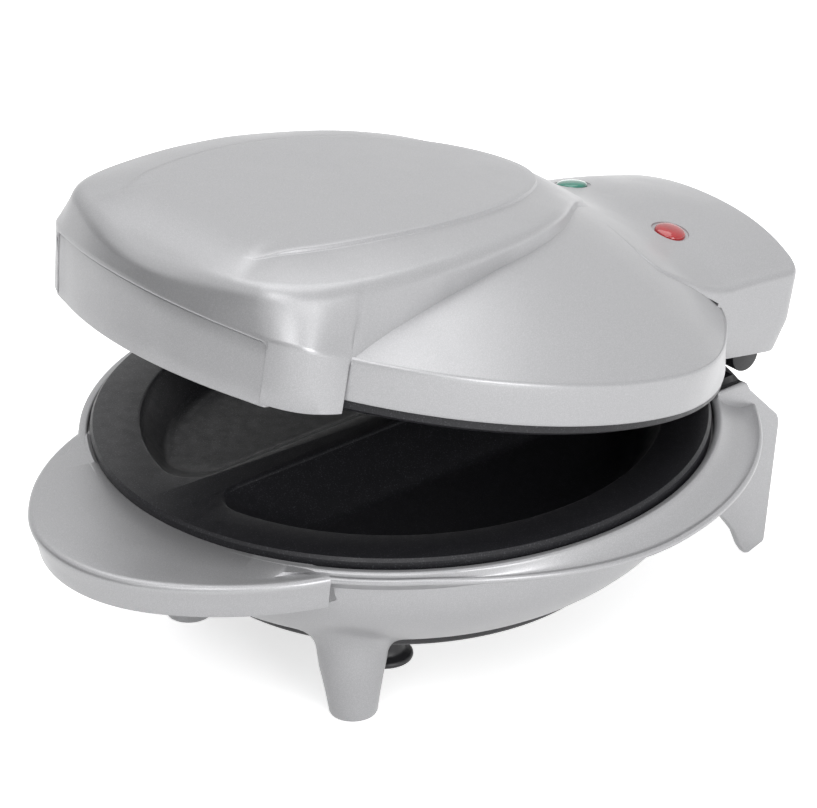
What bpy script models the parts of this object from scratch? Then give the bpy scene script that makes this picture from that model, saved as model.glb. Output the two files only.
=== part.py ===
"""Omelette maker: a hinged cooker with two half-moon pans, its lid standing partly open.

Units are metres, +Z is up, -Y is the front with the grip, +Y is the hinge side and the floor is z = 0.
The lid is modelled closed, then everything on it turns about the hinge to the angle it stands at.
"""
import math

import bmesh
import bpy
from mathutils import Matrix, Vector

# Shared fits and mesh fineness
GAP = 0.0003                    # clearance between touching pieces
OVERRUN = 0.004                 # how far a cutter runs past the face it opens
MERGE = 0.000002                # weld distance
ROUND_STEPS = 60                # facets round the large turned forms
SMALL_STEPS = 14                # facets round pins, screws and lenses

# Where the lid stands, and its hinge
LID_ANGLE = math.radians(14.0)
HINGE_BACK = 0.1270             # hinge axis behind the plate centre
HINGE_DROP = 0.0025             # hinge axis below the rim plane
PIN_RADIUS = 0.0020
PIN_HALF_LENGTH = 0.0380
PIN_HOLE_CLEARANCE = 0.00008

# Base bowl, rim and flange
RIM_HEIGHT = 0.0751             # rim plane above the floor
RIM_INNER_RADIUS = 0.1100
RIM_TOP_RADIUS = 0.1126
RIM_OUTER_RADIUS = 0.1139
RIM_STEP = 0.0030               # drop from the rim to the start of the flange
FLANGE_RADIUS = 0.1197          # the flange's edge is a circle of its own, set back from the plates
FLANGE_SETBACK = 0.0100
FLANGE_DROP = 0.0090
FLANGE_EDGE = 0.0022            # thickness of the flange at its edge
FLANGE_FADE = 0.0060            # width over which the flange reaches its full drop
BOWL_RADIUS = 0.1066
BOWL_DEPTH = 0.0516
BOWL_CENTRE_DROP = 0.0100
BOWL_BOTTOM_DROP = 0.0450
BASE_WALL = 0.0024
SEAT_RADIUS = 0.1050            # inner edge of the ledge under the lower plate
SEAT_DROP = 0.0033
SHIELD_LEDGE_RADIUS = 0.1010
SHIELD_LEDGE_DROP = 0.0131
BOTTOM_OPENING_RADIUS = 0.0660

# Front lip, the lower half of the grip
LIP_REACH = 0.1470              # tip in front of the plate centre
LIP_TIP_RADIUS = 0.0540
LIP_TIP_SWEEP = math.radians(35.0)
LIP_SIDE_RADIUS = 0.1050
LIP_BACK = 0.0700               # how far in front of the plate centre the lip's root lies
LIP_TOP = 0.0002
LIP_THICKNESS = 0.0128
LIP_DRAFT = 0.0035
LIP_EDGE_RADIUS = 0.0026

# Front legs and their pads
LEG_X = 0.0462
LEG_Y = 0.0612
LEG_FOOT_RADIUS = 0.0085
LEG_WAIST_RADIUS = 0.0130
LEG_ROOT_RADIUS = 0.0190
LEG_WAIST_DROP = 0.0480         # height of the waist, below the rim plane
LEG_ROOT_DROP = 0.0395
LEG_WALL = 0.0022
FOOT_EDGE = 0.0010
PAD_RADIUS = 0.0060
PAD_THICKNESS = 0.0012

# Hinge tower at the back of the base, with its two blade-shaped legs
TOWER_TOP = 0.0020              # top edge of the tower's side walls above the rim plane
TOWER_HALF_WIDTH = 0.0635
BLADE_THICKNESS = 0.0030
BLADE_LEAN = 0.130              # sideways lean of a blade for each unit of height
TOWER_BACK = 0.1060             # back end of the side walls' top edge
BLADE_BACK = 0.1259
BLADE_SHOULDER = 0.0200         # how far the back edge slopes down to its full depth
TOWER_FLOOR_DROP = 0.0450
TOWER_CHAMFER = 0.0110
TOWER_WALL_BACK = 0.1135
TOWER_FRONT = 0.0800
BLADE_FRONT = 0.0930            # front end of the side walls' top edge, just behind the rim
BRACKET_DROP = 0.0108           # the bracket's pocket, below the rim plane

# Hinge bracket on the base
BRACKET_RIM = 0.0021
BRACKET_FLOOR_DROP = 0.0080
BRACKET_FLOOR_THICKNESS = 0.0025
BRACKET_BOX_HALF_WIDTH = 0.0485
BRACKET_BOX_BACK = 0.1137
BRACKET_BOX_DROP = 0.0030
KNUCKLE_HALF_WIDTH = 0.0272
KNUCKLE_RADIUS = 0.0058

# Cooking plates
LOWER_PLATE_RADIUS = 0.1088
UPPER_PLATE_RADIUS = 0.1103
PLATE_FACE = 0.0030             # lower plate's face above the rim plane
PLATE_RIM_THICKNESS = 0.0060
LOWER_PLATE_CHAMFER = 0.0010
UPPER_PLATE_CHAMFER = 0.0033
PLATE_CLEARANCE = 0.0005        # between the two faces when the lid is shut
WELL_RADIUS = 0.0914
WELL_INSET = 0.0074             # how far the round wall leans in on its way down
WELL_DIVIDER = 0.0065           # half the width of the bar between the two wells
WELL_SLOPE = 0.0180             # run of the long slope beside the bar
WELL_CORNER = 0.0120
WELL_DEPTH = 0.0140
WELL_FILLET = 0.0030
PLATE_WALL = 0.0026

# Heating elements, shields and controls
HEATER_RING_RADIUS = 0.0985
HEATER_TUBE_RADIUS = 0.0032
HEATER_PIN_RADIUS = 0.0014
HEATER_PIN_LENGTH = 0.0110
HEATER_GAP_ANGLE = math.radians(24.0)
SHIELD_THICKNESS = 0.0008
LOWER_SHIELD_RADIUS = 0.1034
LOWER_SHIELD_SHOULDER = 0.0990
LOWER_SHIELD_FLOOR_RADIUS = 0.0890
LOWER_SHIELD_DEPTH = 0.0080
UPPER_SHIELD_RADIUS = 0.1085
UPPER_SHIELD_SHOULDER = 0.1010
UPPER_SHIELD_FLOOR_RADIUS = 0.0930
UPPER_SHIELD_DEPTH = 0.0050
THERMOSTAT_RADIUS = 0.0080
THERMOSTAT_HEIGHT = 0.0085
THERMOSTAT_FLANGE = 0.0015
FUSE_RADIUS = 0.0024
FUSE_LENGTH = 0.0240
FUSE_BACK = 0.0380
TERMINAL_SIZE = (0.0300, 0.0140, 0.0120)
TERMINAL_BACK = 0.0400

# Bottom cover with its cord posts
COVER_RADIUS = 0.0778
COVER_EDGE = 0.0018
COVER_FLAT_RADIUS = 0.0600
COVER_DEPTH = 0.0095
COVER_THICKNESS = 0.0022
COVER_SPIGOT = 0.0040
POST_PLACE = 0.0390
POST_FLANGE_RADIUS = 0.0100
POST_NECK_RADIUS = 0.0066
POST_HEIGHT = 0.0112
POST_FLANGE = 0.0026
VENT_COUNT = 12
VENT_WIDTH = 0.0025
VENT_INNER = 0.0140
VENT_OUTER = 0.0300
COVER_SCREW_PLACE = 0.0705
SCREW_RADIUS = 0.0015
SCREW_HEAD_RADIUS = 0.0031
SCREW_HEAD_HEIGHT = 0.0018
SCREW_LENGTH = 0.0100
SCREW_BOSS_RADIUS = 0.0040
SCREW_BOSS_HEIGHT = 0.0085
GROMMET_RADIUS = 0.0062
GROMMET_BORE = 0.0034
GROMMET_LENGTH = 0.0120
GROMMET_DROP = 0.0260

# Lid, with heights from the plane of its skirt's lower edge
LID_RISE = 0.0087               # skirt plane above the rim plane when the lid is shut
LID_WALL = 0.0024
SKIRT_RADIUS = 0.1134
CREASE_RADIUS = 0.1158
CREASE_HEIGHT = 0.0150
DOME_EDGE = 0.0018              # rounding of the crease between skirt and dome
DOME_HEIGHT = 0.0500
RIB_ANGLES = tuple(math.radians(a) for a in (-36, 0, 36, 144, 180, 216))
RIB_THICKNESS = 0.0018
RIB_REACH = 0.0070
RIB_HEIGHT = 0.0115

# Raised tongue on the lid
TONGUE_HALF_WIDTH = 0.0712
TONGUE_FRONT = 0.1288
TONGUE_TIP = 0.0680
TONGUE_SKIRT = 0.0042           # how far its front hangs below the skirt plane
TONGUE_PEAK = 0.0492            # height of the top's edge where it is highest
TONGUE_PEAK_BACK = 0.0300
TONGUE_ROLL = 0.704             # how fast the top falls away from its peak, per metre squared
TONGUE_CROWN = 0.0036
TONGUE_EDGE_RADIUS = 0.0055
TONGUE_OUTLINE_SHARES = (
    (0.0, -1.0), (0.25, -0.991), (0.50, -0.965), (0.75, -0.920), (0.88, -0.888), (0.962, -0.842),
    (0.990, -0.785), (1.0, -0.706), (0.989, -0.613), (0.952, -0.427), (0.888, -0.233), (0.815, -0.078),
    (0.723, 0.103), (0.604, 0.324), (0.463, 0.529), (0.323, 0.706), (0.197, 0.860), (0.098, 0.956), (0.0, 1.0))
LEAF_HALF_WIDTH = 0.0490
LEAF_FRONT = 0.1130
LEAF_TIP = 0.0385
LEAF_DEPTH = 0.0009
LEAF_STEP = 0.0014
LEAF_OUTLINE_SHARES = (
    (0.0, -1.0), (0.40, -0.995), (0.66, -0.970), (0.78, -0.910), (0.86, -0.820), (0.93, -0.720), (0.985, -0.580),
    (1.0, -0.450), (0.975, -0.310), (0.90, -0.150), (0.78, 0.030), (0.62, 0.400), (0.42, 0.740), (0.20, 0.950),
    (0.0, 1.0))

# Grip panel let into the front of the tongue
PANEL_HALF_WIDTH = 0.0580
PANEL_TOP = 0.0185
PANEL_SET_IN = 0.0010
PANEL_THICKNESS = 0.0024
TONGUE_FRONT_RADIUS = 0.1390

# Hinge housing at the back of the lid
HOUSING_FRONT = 0.0500
HOUSING_FRONT_HALF_WIDTH = 0.0630
HOUSING_BACK_HALF_WIDTH = 0.0500
HOUSING_SIDE_BACK = 0.1310
HOUSING_BACK = 0.1490
HOUSING_CORNER = 0.0060
HOUSING_SKIRT = 0.0060          # how far it hangs below the skirt plane
HOUSING_PULL = 0.0044           # how far the back wall leans in at its foot
HOUSING_KNEE = 0.0060           # height where that lean ends
HOUSING_LENS_HEIGHT = 0.0375    # height of the top on the centre line, level with the lenses
HOUSING_CROWN = 3.77            # how fast the top falls to each side, per metre squared
HOUSING_FALL = 0.130            # how fast the top falls to the back
HOUSING_EDGE_RADIUS = 0.0028

# Indicator lenses and lamps
LENS_X = 0.0262
LENS_BACK = 0.0915
LENS_RADIUS = 0.0057
LENS_PROUD = 0.0014
LENS_DOME = 0.0014
LENS_DEPTH = 0.0050
LENS_RECESS_RADIUS = 0.0068
LENS_RECESS_DEPTH = 0.0008
LAMP_RADIUS = 0.0028
LAMP_HEIGHT = 0.0060
BOARD_SIZE = (0.0700, 0.0120, 0.0016)
BOARD_HEIGHT = 0.0205
BOARD_POST_RADIUS = 0.0028
BOARD_POST_X = 0.0320

# Hinge cover under the housing, with its two ears
HINGE_COVER_LOW = 0.0038
HINGE_COVER_THICKNESS = 0.0024
HINGE_COVER_FRONT = 0.1116
EAR_INNER = 0.0279
EAR_OUTER = 0.0410
EAR_RADIUS = 0.0062
EAR_TAPER = 0.0030
EAR_WRAP = math.radians(63.0)   # how far the ear's round back wraps over the pin

# Sizes that follow from the ones above
LID_PLANE = RIM_HEIGHT + LID_RISE
HINGE_HEIGHT = RIM_HEIGHT - HINGE_DROP
UPPER_FACE = PLATE_FACE + PLATE_CLEARANCE - LID_RISE     # upper plate's face, from the skirt plane
UPPER_PLATE_BACK = UPPER_FACE + PLATE_RIM_THICKNESS + UPPER_PLATE_CHAMFER / 2


def turned_back(back, height):
    """Return where a point of the shut lid stands once the lid is at its angle, as (back, height)."""
    arm, rise = back - HINGE_BACK, height - HINGE_HEIGHT
    return (HINGE_BACK + arm * math.cos(LID_ANGLE) + rise * math.sin(LID_ANGLE),
            HINGE_HEIGHT - arm * math.sin(LID_ANGLE) + rise * math.cos(LID_ANGLE))


def housing_top(x, back):
    """Height of the hinge housing's crowned top above the skirt plane."""
    return HOUSING_LENS_HEIGHT - HOUSING_CROWN * x * x - HOUSING_FALL * (back - LENS_BACK)


REAR_REACH = turned_back(HOUSING_BACK, LID_PLANE + housing_top(0, HOUSING_BACK) - HOUSING_EDGE_RADIUS)[0]
CENTRE_Y = (LIP_REACH - REAR_REACH) / 2      # places the plate centre so that the origin is mid-depth


# Scene and materials

def clear_scene():
    """Remove what the default scene holds."""
    for item in list(bpy.data.objects):
        bpy.data.objects.remove(item, do_unlink=True)


def new_material(name, colour, roughness, metallic=0.0, alpha=1.0):
    """Return a Principled material."""
    material = bpy.data.materials.new(name)
    material.use_nodes = True
    shader = material.node_tree.nodes["Principled BSDF"]
    shader.inputs["Base Color"].default_value = (*colour, 1.0)
    shader.inputs["Roughness"].default_value = roughness
    shader.inputs["Metallic"].default_value = metallic
    shader.inputs["Alpha"].default_value = alpha
    return material


# Modelling helpers

def link(item):
    """Put an object in the part's collection."""
    PARTS.objects.link(item)
    return item


def tidy_mesh(mesh):
    """Weld the seams of a mesh and point its faces out."""
    bm = bmesh.new()
    bm.from_mesh(mesh)
    bmesh.ops.remove_doubles(bm, verts=bm.verts, dist=MERGE)
    bmesh.ops.recalc_face_normals(bm, faces=bm.faces)
    bm.to_mesh(mesh)
    bm.free()


def settle(item):
    """Turn an object with modifiers, or a curve, into a plain mesh object in its own place."""
    bpy.context.view_layer.update()
    graph = bpy.context.evaluated_depsgraph_get()
    mesh = bpy.data.meshes.new_from_object(item.evaluated_get(graph))
    mesh.transform(item.matrix_world)
    name = item.name
    bpy.data.objects.remove(item, do_unlink=True)
    return link(bpy.data.objects.new(name, mesh))


def combine(target, others, operation):
    """Union, difference or intersect other objects with the target, and remove them."""
    for other in others:
        step = target.modifiers.new(operation, "BOOLEAN")
        step.operation = operation
        step.solver = "EXACT"
        step.object = other
        target = settle(target)
        bpy.data.objects.remove(other, do_unlink=True)
    return target


def fuse(target, *others):
    """Join other solids to the target."""
    return combine(target, others, "UNION")


def cut(target, *others):
    """Take other solids out of the target."""
    return combine(target, others, "DIFFERENCE")


def turned(name, profile, steps=ROUND_STEPS, closed=False):
    """Turn a profile of (radius, height) points about the vertical axis."""
    bm = bmesh.new()
    points = [bm.verts.new((radius, 0, height)) for radius, height in profile]
    for first, second in zip(points, points[1:]):
        bm.edges.new((first, second))
    if closed:
        bm.edges.new((points[-1], points[0]))
    mesh = bpy.data.meshes.new(name)
    bm.to_mesh(mesh)
    bm.free()
    item = link(bpy.data.objects.new(name, mesh))
    turn = item.modifiers.new("turn", "SCREW")
    turn.steps = turn.render_steps = steps
    turn.use_merge_vertices = True
    turn.merge_threshold = MERGE
    item = settle(item)
    tidy_mesh(item.data)
    return item


def loft(name, rings, tip=None):
    """Skin closed rings of equal length from the lowest up, ending in a flat face or in a tip point."""
    bm = bmesh.new()
    loops = [[bm.verts.new(point) for point in ring] for ring in rings]
    count = len(rings[0])
    for low, high in zip(loops, loops[1:]):
        for i in range(count):
            j = (i + 1) % count
            bm.faces.new((low[i], low[j], high[j], high[i]))
    bm.faces.new(reversed(loops[0]))
    if tip is None:
        bm.faces.new(loops[-1])
    else:
        peak = bm.verts.new(tip)
        for i in range(count):
            bm.faces.new((loops[-1][i], loops[-1][(i + 1) % count], peak))
    mesh = bpy.data.meshes.new(name)
    bm.to_mesh(mesh)
    bm.free()
    tidy_mesh(mesh)
    return link(bpy.data.objects.new(name, mesh))


def box(name, low, high):
    """A block between two corners."""
    bm = bmesh.new()
    bmesh.ops.create_cube(bm, size=1)
    size = [b - a for a, b in zip(low, high)]
    middle = [(a + b) / 2 for a, b in zip(low, high)]
    bmesh.ops.scale(bm, vec=size, verts=bm.verts)
    bmesh.ops.translate(bm, vec=middle, verts=bm.verts)
    mesh = bpy.data.meshes.new(name)
    bm.to_mesh(mesh)
    bm.free()
    return link(bpy.data.objects.new(name, mesh))


def rod(name, radius, start, end, steps=SMALL_STEPS, end_radius=None):
    """A cylinder or cone from one point to another."""
    start, end = Vector(start), Vector(end)
    way = end - start
    bm = bmesh.new()
    bmesh.ops.create_cone(bm, cap_ends=True, segments=steps, radius1=radius,
                          radius2=radius if end_radius is None else end_radius, depth=way.length)
    turn = Vector((0, 0, 1)).rotation_difference(way).to_matrix().to_4x4()
    bmesh.ops.transform(bm, matrix=Matrix.Translation((start + end) / 2) @ turn, verts=bm.verts)
    mesh = bpy.data.meshes.new(name)
    bm.to_mesh(mesh)
    bm.free()
    return link(bpy.data.objects.new(name, mesh))


def slab(name, outline, half_width):
    """A flat outline of (back, height) points, standing across the part and extruded to both sides."""
    curve = bpy.data.curves.new(name, "CURVE")
    curve.dimensions = "2D"
    curve.fill_mode = "BOTH"
    curve.extrude = half_width
    spline = curve.splines.new("POLY")
    spline.points.add(len(outline) - 1)
    for point, (back, height) in zip(spline.points, outline):
        point.co = (back, height, 0, 1)
    spline.use_cyclic_u = True
    item = link(bpy.data.objects.new(name, curve))
    item.matrix_world = Matrix(((0, 0, 1, 0), (1, 0, 0, 0), (0, 1, 0, 0), (0, 0, 0, 1)))
    item = settle(item)
    tidy_mesh(item.data)
    return item


def tube(name, points, radius):
    """A round wire along a list of points."""
    curve = bpy.data.curves.new(name, "CURVE")
    curve.dimensions = "3D"
    curve.bevel_depth = radius
    curve.bevel_resolution = 1
    curve.use_fill_caps = True
    spline = curve.splines.new("POLY")
    spline.points.add(len(points) - 1)
    for point, place in zip(spline.points, points):
        point.co = (*place, 1)
    item = settle(link(bpy.data.objects.new(name, curve)))
    tidy_mesh(item.data)
    return item


def arc(centre, radius, start, end, steps):
    """Points along an arc, both ends included."""
    return [(centre[0] + radius * math.cos(start + (end - start) * i / steps),
             centre[1] + radius * math.sin(start + (end - start) * i / steps)) for i in range(steps + 1)]


def smooth_loop(points, steps):
    """Catmull-Rom points round a closed outline."""
    count = len(points)
    result = []
    for i in range(count):
        before, here, after, beyond = (Vector(points[(i + k) % count]) for k in (-1, 0, 1, 2))
        for step in range(steps):
            t = step / steps
            result.append(tuple(0.5 * (2 * here + (after - before) * t
                                       + (2 * before - 5 * here + 4 * after - beyond) * t * t
                                       + (3 * here - before - 3 * after + beyond) * t ** 3)))
    return result


def both_sides(half):
    """Close a right-hand outline, from its front point to its back point, with its mirror image."""
    return list(half) + [(-x, y) for x, y in reversed(half[1:-1])]


def inset(outline, distance):
    """Move an anticlockwise outline inwards by a distance."""
    count = len(outline)
    result = []
    for i, (x, y) in enumerate(outline):
        before, after = outline[i - 1], outline[(i + 1) % count]
        along = Vector((after[0] - before[0], after[1] - before[1])).normalized()
        result.append((x - along.y * distance, y + along.x * distance))
    return result


def raised(outline, height):
    """Give a flat outline a height, or the height that a function of its place returns."""
    if callable(height):
        return [(x, y, height(x, y)) for x, y in outline]
    return [(x, y, height) for x, y in outline]


def shrunk(outline, share, centre_back):
    """Draw an outline in towards a point on the centre line."""
    return [(x * share, centre_back + (y - centre_back) * share) for x, y in outline]


# Base

def flange_reach(angle):
    """Distance of the flange's edge from the plate centre at an angle."""
    sideways = FLANGE_SETBACK * math.cos(angle)
    along = FLANGE_SETBACK * math.sin(angle)
    return max(along + math.sqrt(FLANGE_RADIUS ** 2 - sideways ** 2), RIM_OUTER_RADIUS + BASE_WALL / 4)


def flange_edge(angle):
    """Height of the flange's edge, from the rim plane."""
    share = min(1.0, (flange_reach(angle) - RIM_OUTER_RADIUS) / FLANGE_FADE)
    return -RIM_STEP - (FLANGE_DROP - RIM_STEP) * share * share * (3 - 2 * share)


def bowl_radius(drop):
    """Outer radius of the bowl at a depth below the rim plane."""
    share = (drop - BOWL_CENTRE_DROP) / BOWL_DEPTH
    return BOWL_RADIUS * math.sqrt(1 - share * share)


def bowl_solid():
    """The bowl with its rim and eccentric flange, still solid."""
    angles = [2 * math.pi * i / ROUND_STEPS for i in range(ROUND_STEPS)]

    def ring(reach, height):
        return [(reach(a) * math.cos(a), reach(a) * math.sin(a), RIM_HEIGHT + height(a)) for a in angles]

    rings = []
    depth_shares = (1.0, 0.86, 0.69, 0.50, 0.33, 0.17, 0.05)
    for share in depth_shares:
        drop = BOWL_CENTRE_DROP + (BOWL_BOTTOM_DROP - BOWL_CENTRE_DROP) * share
        rings.append(ring(lambda a, d=drop: bowl_radius(d), lambda a, d=drop: -d))
    rings.append(ring(lambda a: flange_reach(a) - FLANGE_EDGE, lambda a: flange_edge(a) - FLANGE_EDGE))
    rings.append(ring(lambda a: flange_reach(a) - FLANGE_EDGE / 6, lambda a: flange_edge(a) - FLANGE_EDGE * 0.8))
    for share in (1.0, 0.75, 0.5, 0.25, 0.0):
        fall = 1 - (1 - share) ** 1.8
        rings.append(ring(lambda a, s=share: RIM_OUTER_RADIUS + (flange_reach(a) - RIM_OUTER_RADIUS) * s,
                          lambda a, f=fall: -RIM_STEP + (flange_edge(a) + RIM_STEP) * f))
    rings.append(ring(lambda a: RIM_OUTER_RADIUS - RIM_STEP / 10, lambda a: -RIM_STEP / 4))
    rings.append(ring(lambda a: RIM_TOP_RADIUS, lambda a: 0))
    return loft("base_shell", rings)


def lip_outline():
    """Plan of the front lip: a round tip running into two flatter sides."""
    middle = (0, -(LIP_REACH - LIP_TIP_RADIUS))
    start = -math.pi / 2
    tip = arc(middle, LIP_TIP_RADIUS, start, start + LIP_TIP_SWEEP, 8)
    shift = LIP_SIDE_RADIUS - LIP_TIP_RADIUS
    normal = (math.sin(LIP_TIP_SWEEP), -math.cos(LIP_TIP_SWEEP))
    side_middle = (-shift * normal[0], middle[1] - shift * normal[1])
    side_end = math.asin((-LIP_BACK - side_middle[1]) / LIP_SIDE_RADIUS)
    side = arc(side_middle, LIP_SIDE_RADIUS, start + LIP_TIP_SWEEP, side_end, 8)
    half = tip + side[1:]
    return half + [(-x, y) for x, y in reversed(half[1:])]


def lip_solid(name, shrink, low, high, edge):
    """The lip between two heights, drawn in by a wall and rounded along its top edge."""
    top = inset(lip_outline(), shrink)
    rings = [raised(inset(top, LIP_DRAFT), low), raised(inset(top, LIP_DRAFT / 3), high - LIP_THICKNESS / 3)]
    for turn in (0, math.pi / 6, math.pi / 3, math.pi / 2):
        rings.append(raised(inset(top, edge * (1 - math.cos(turn))), high - edge * (1 - math.sin(turn))))
    return loft(name, rings)


def tower_half_width(height):
    """Half the tower's width at a height: its side walls lean in on their way down."""
    return TOWER_HALF_WIDTH - (RIM_HEIGHT + TOWER_TOP - height) * BLADE_LEAN


def leaning_block(name, depth, places):
    """A block whose sides stay a depth inside the tower's leaning walls. Places are (height, front, back)."""
    rings = []
    for height, front, back in places:
        wide = tower_half_width(height) - depth
        rings.append([(-wide, front, height), (wide, front, height), (wide, back, height), (-wide, back, height)])
    return loft(name, rings)


def blade(name, side):
    """One side wall of the hinge tower, which runs down into a blade-shaped rear leg."""
    top = RIM_HEIGHT + TOWER_TOP
    shoulder = top - BLADE_SHOULDER
    foot = LEG_FOOT_RADIUS
    outline = [
        (BLADE_FRONT, top), (TOWER_BACK - FOOT_EDGE, top), (TOWER_BACK + FOOT_EDGE, top - FOOT_EDGE),
        (BLADE_BACK - FOOT_EDGE, shoulder), (BLADE_BACK, shoulder - BASE_WALL * 2), (BLADE_BACK, FOOT_EDGE * 2),
        (BLADE_BACK - FOOT_EDGE * 2, FOOT_EDGE / 2), (BLADE_BACK - FOOT_EDGE * 4, 0), (BLADE_BACK - foot - FOOT_EDGE, 0),
        (BLADE_BACK - foot - FOOT_EDGE * 3, FOOT_EDGE * 1.6), (BLADE_BACK - foot * 1.9, foot * 1.2),
        (BLADE_BACK - foot * 2.9, foot * 2.5), (BLADE_BACK - foot * 4.2, foot * 3.5),
        (BLADE_BACK - foot * 6.4, foot * 4.3), (TOWER_FRONT - foot, foot * 5), (TOWER_FRONT - foot, foot * 7),
        (BLADE_FRONT, RIM_HEIGHT - FLANGE_DROP)]

    return loft(name, [[(side * (tower_half_width(z) - depth), y, z) for y, z in outline]
                       for depth in (BLADE_THICKNESS, 0)])


def tower_solid(name, shrink, top_drop, front):
    """The hollow block between the blades that carries the hinge bracket."""
    back = TOWER_WALL_BACK - shrink
    return leaning_block(name, BLADE_THICKNESS / 2 + shrink, [
        (RIM_HEIGHT - TOWER_FLOOR_DROP + shrink, front, back - TOWER_CHAMFER),
        (RIM_HEIGHT - TOWER_FLOOR_DROP + TOWER_CHAMFER, front, back), (RIM_HEIGHT - top_drop, front, back)])


def open_back():
    """The open space between the blades, above and behind the tower's back wall."""
    high = RIM_HEIGHT + TOWER_TOP + OVERRUN
    back = FLANGE_RADIUS + FLANGE_SETBACK + OVERRUN
    above = leaning_block("above", BLADE_THICKNESS, [(RIM_HEIGHT - BRACKET_DROP, TOWER_BACK - OVERRUN, back),
                                                     (high, TOWER_BACK - OVERRUN, back)])
    behind = leaning_block("behind", BLADE_THICKNESS, [(RIM_HEIGHT - FLANGE_DROP - OVERRUN, TOWER_WALL_BACK, back),
                                                       (high - OVERRUN / 2, TOWER_WALL_BACK, back)])
    return [above, behind]


def leg_profile(shrink):
    """Turned profile of a front leg from its root down to its foot."""
    return [(0, RIM_HEIGHT - LEG_ROOT_DROP), (LEG_ROOT_RADIUS - shrink, RIM_HEIGHT - LEG_ROOT_DROP),
            (LEG_WAIST_RADIUS + (LEG_ROOT_RADIUS - LEG_WAIST_RADIUS) / 3 - shrink,
             RIM_HEIGHT - LEG_ROOT_DROP - (LEG_WAIST_DROP - LEG_ROOT_DROP) / 3),
            (LEG_WAIST_RADIUS - shrink, RIM_HEIGHT - LEG_WAIST_DROP),
            (LEG_FOOT_RADIUS - shrink / 2, shrink + FOOT_EDGE), (LEG_FOOT_RADIUS - FOOT_EDGE - shrink / 2, shrink),
            (0, shrink)]


def screw_places():
    """Centres of the bottom cover's screws."""
    return [(COVER_SCREW_PLACE * math.cos(a), COVER_SCREW_PLACE * math.sin(a))
            for a in (0, math.pi / 2, math.pi, 3 * math.pi / 2)]


def make_base_shell():
    """Bowl, rim, flange, lip, tower and legs as one moulding."""
    rim = RIM_HEIGHT
    shell = fuse(bowl_solid(), lip_solid("lip", 0, rim + LIP_TOP - LIP_THICKNESS, rim + LIP_TOP, LIP_EDGE_RADIUS),
                 tower_solid("tower", 0, BRACKET_DROP, TOWER_FRONT), blade("blade_r", 1), blade("blade_l", -1))
    inner_drops = (SHIELD_LEDGE_DROP * 1.9, SHIELD_LEDGE_DROP * 2.5)
    cavity = [(0, rim + OVERRUN), (RIM_INNER_RADIUS, rim + OVERRUN), (RIM_INNER_RADIUS, rim - SEAT_DROP),
              (SEAT_RADIUS, rim - SEAT_DROP), (SEAT_RADIUS - BASE_WALL / 3, rim - SHIELD_LEDGE_DROP),
              (SHIELD_LEDGE_RADIUS, rim - SHIELD_LEDGE_DROP)]
    cavity += [(bowl_radius(drop) - BASE_WALL, rim - drop) for drop in inner_drops]
    floor = BOWL_BOTTOM_DROP - BASE_WALL
    cavity += [(bowl_radius(floor) - BASE_WALL * 1.6, rim - floor), (BOTTOM_OPENING_RADIUS, rim - floor),
               (BOTTOM_OPENING_RADIUS, rim - BOWL_BOTTOM_DROP - OVERRUN), (0, rim - BOWL_BOTTOM_DROP - OVERRUN)]
    lip_hollow = lip_solid("lip_hollow", BASE_WALL, rim - LIP_THICKNESS - OVERRUN, rim + LIP_TOP - BASE_WALL, BASE_WALL)
    keep = turned("keep", [(0, rim + OVERRUN), (RIM_OUTER_RADIUS, rim + OVERRUN), (RIM_OUTER_RADIUS, 0), (0, 0)])
    shell = cut(shell, turned("cavity", cavity), cut(lip_hollow, keep),
                tower_solid("tower_hollow", BASE_WALL, BRACKET_DROP - OVERRUN, TOWER_FRONT + BASE_WALL),
                bracket_block("pocket", GAP, rim + OVERRUN * 2), *open_back())
    for side in (-1, 1):
        place = Vector((side * LEG_X, -LEG_Y, 0))
        leg, hollow = turned("leg", leg_profile(0), 28), turned("leg_hollow", leg_profile(LEG_WALL), 28)
        for item in (leg, hollow):
            item.data.transform(Matrix.Translation(place))
        hollow.data.transform(Matrix.Translation((0, 0, MERGE * 50)))
        recess = rod("recess", PAD_RADIUS + GAP, place - Vector((0, 0, OVERRUN)),
                     place + Vector((0, 0, PAD_THICKNESS + GAP)))
        shell = cut(fuse(shell, leg), hollow, recess)
    for x, y in screw_places():
        low, high = rim - BOWL_BOTTOM_DROP, rim - floor + SCREW_BOSS_HEIGHT
        boss = rod("boss", SCREW_BOSS_RADIUS, (x, y, low + BASE_WALL / 2), (x, y, high))
        hole = rod("hole", SCREW_RADIUS + GAP / 2, (x, y, low - OVERRUN), (x, y, high - BASE_WALL / 2))
        shell = cut(fuse(shell, boss), hole)
    height = rim - GROMMET_DROP
    shell = cut(shell, rod("outlet", GROMMET_RADIUS - BASE_WALL / 2 + GAP, (0, TOWER_WALL_BACK - OVERRUN * 2, height),
                           (0, TOWER_WALL_BACK + OVERRUN * 2, height)))
    return shell


def bracket_block(name, grow, top):
    """Footprint of the hinge bracket: a block behind the plates with a round front edge."""
    back = TOWER_BACK + grow
    block = leaning_block(name, BLADE_THICKNESS / 2 - grow, [
        (RIM_HEIGHT - BRACKET_DROP + GAP - grow, TOWER_FRONT, back), (top, TOWER_FRONT, back)])
    radius = RIM_INNER_RADIUS + GAP - grow * 3
    round_front = turned("round_front", [(0, top + OVERRUN), (radius, top + OVERRUN), (radius, 0), (0, 0)])
    return cut(block, round_front)


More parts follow.
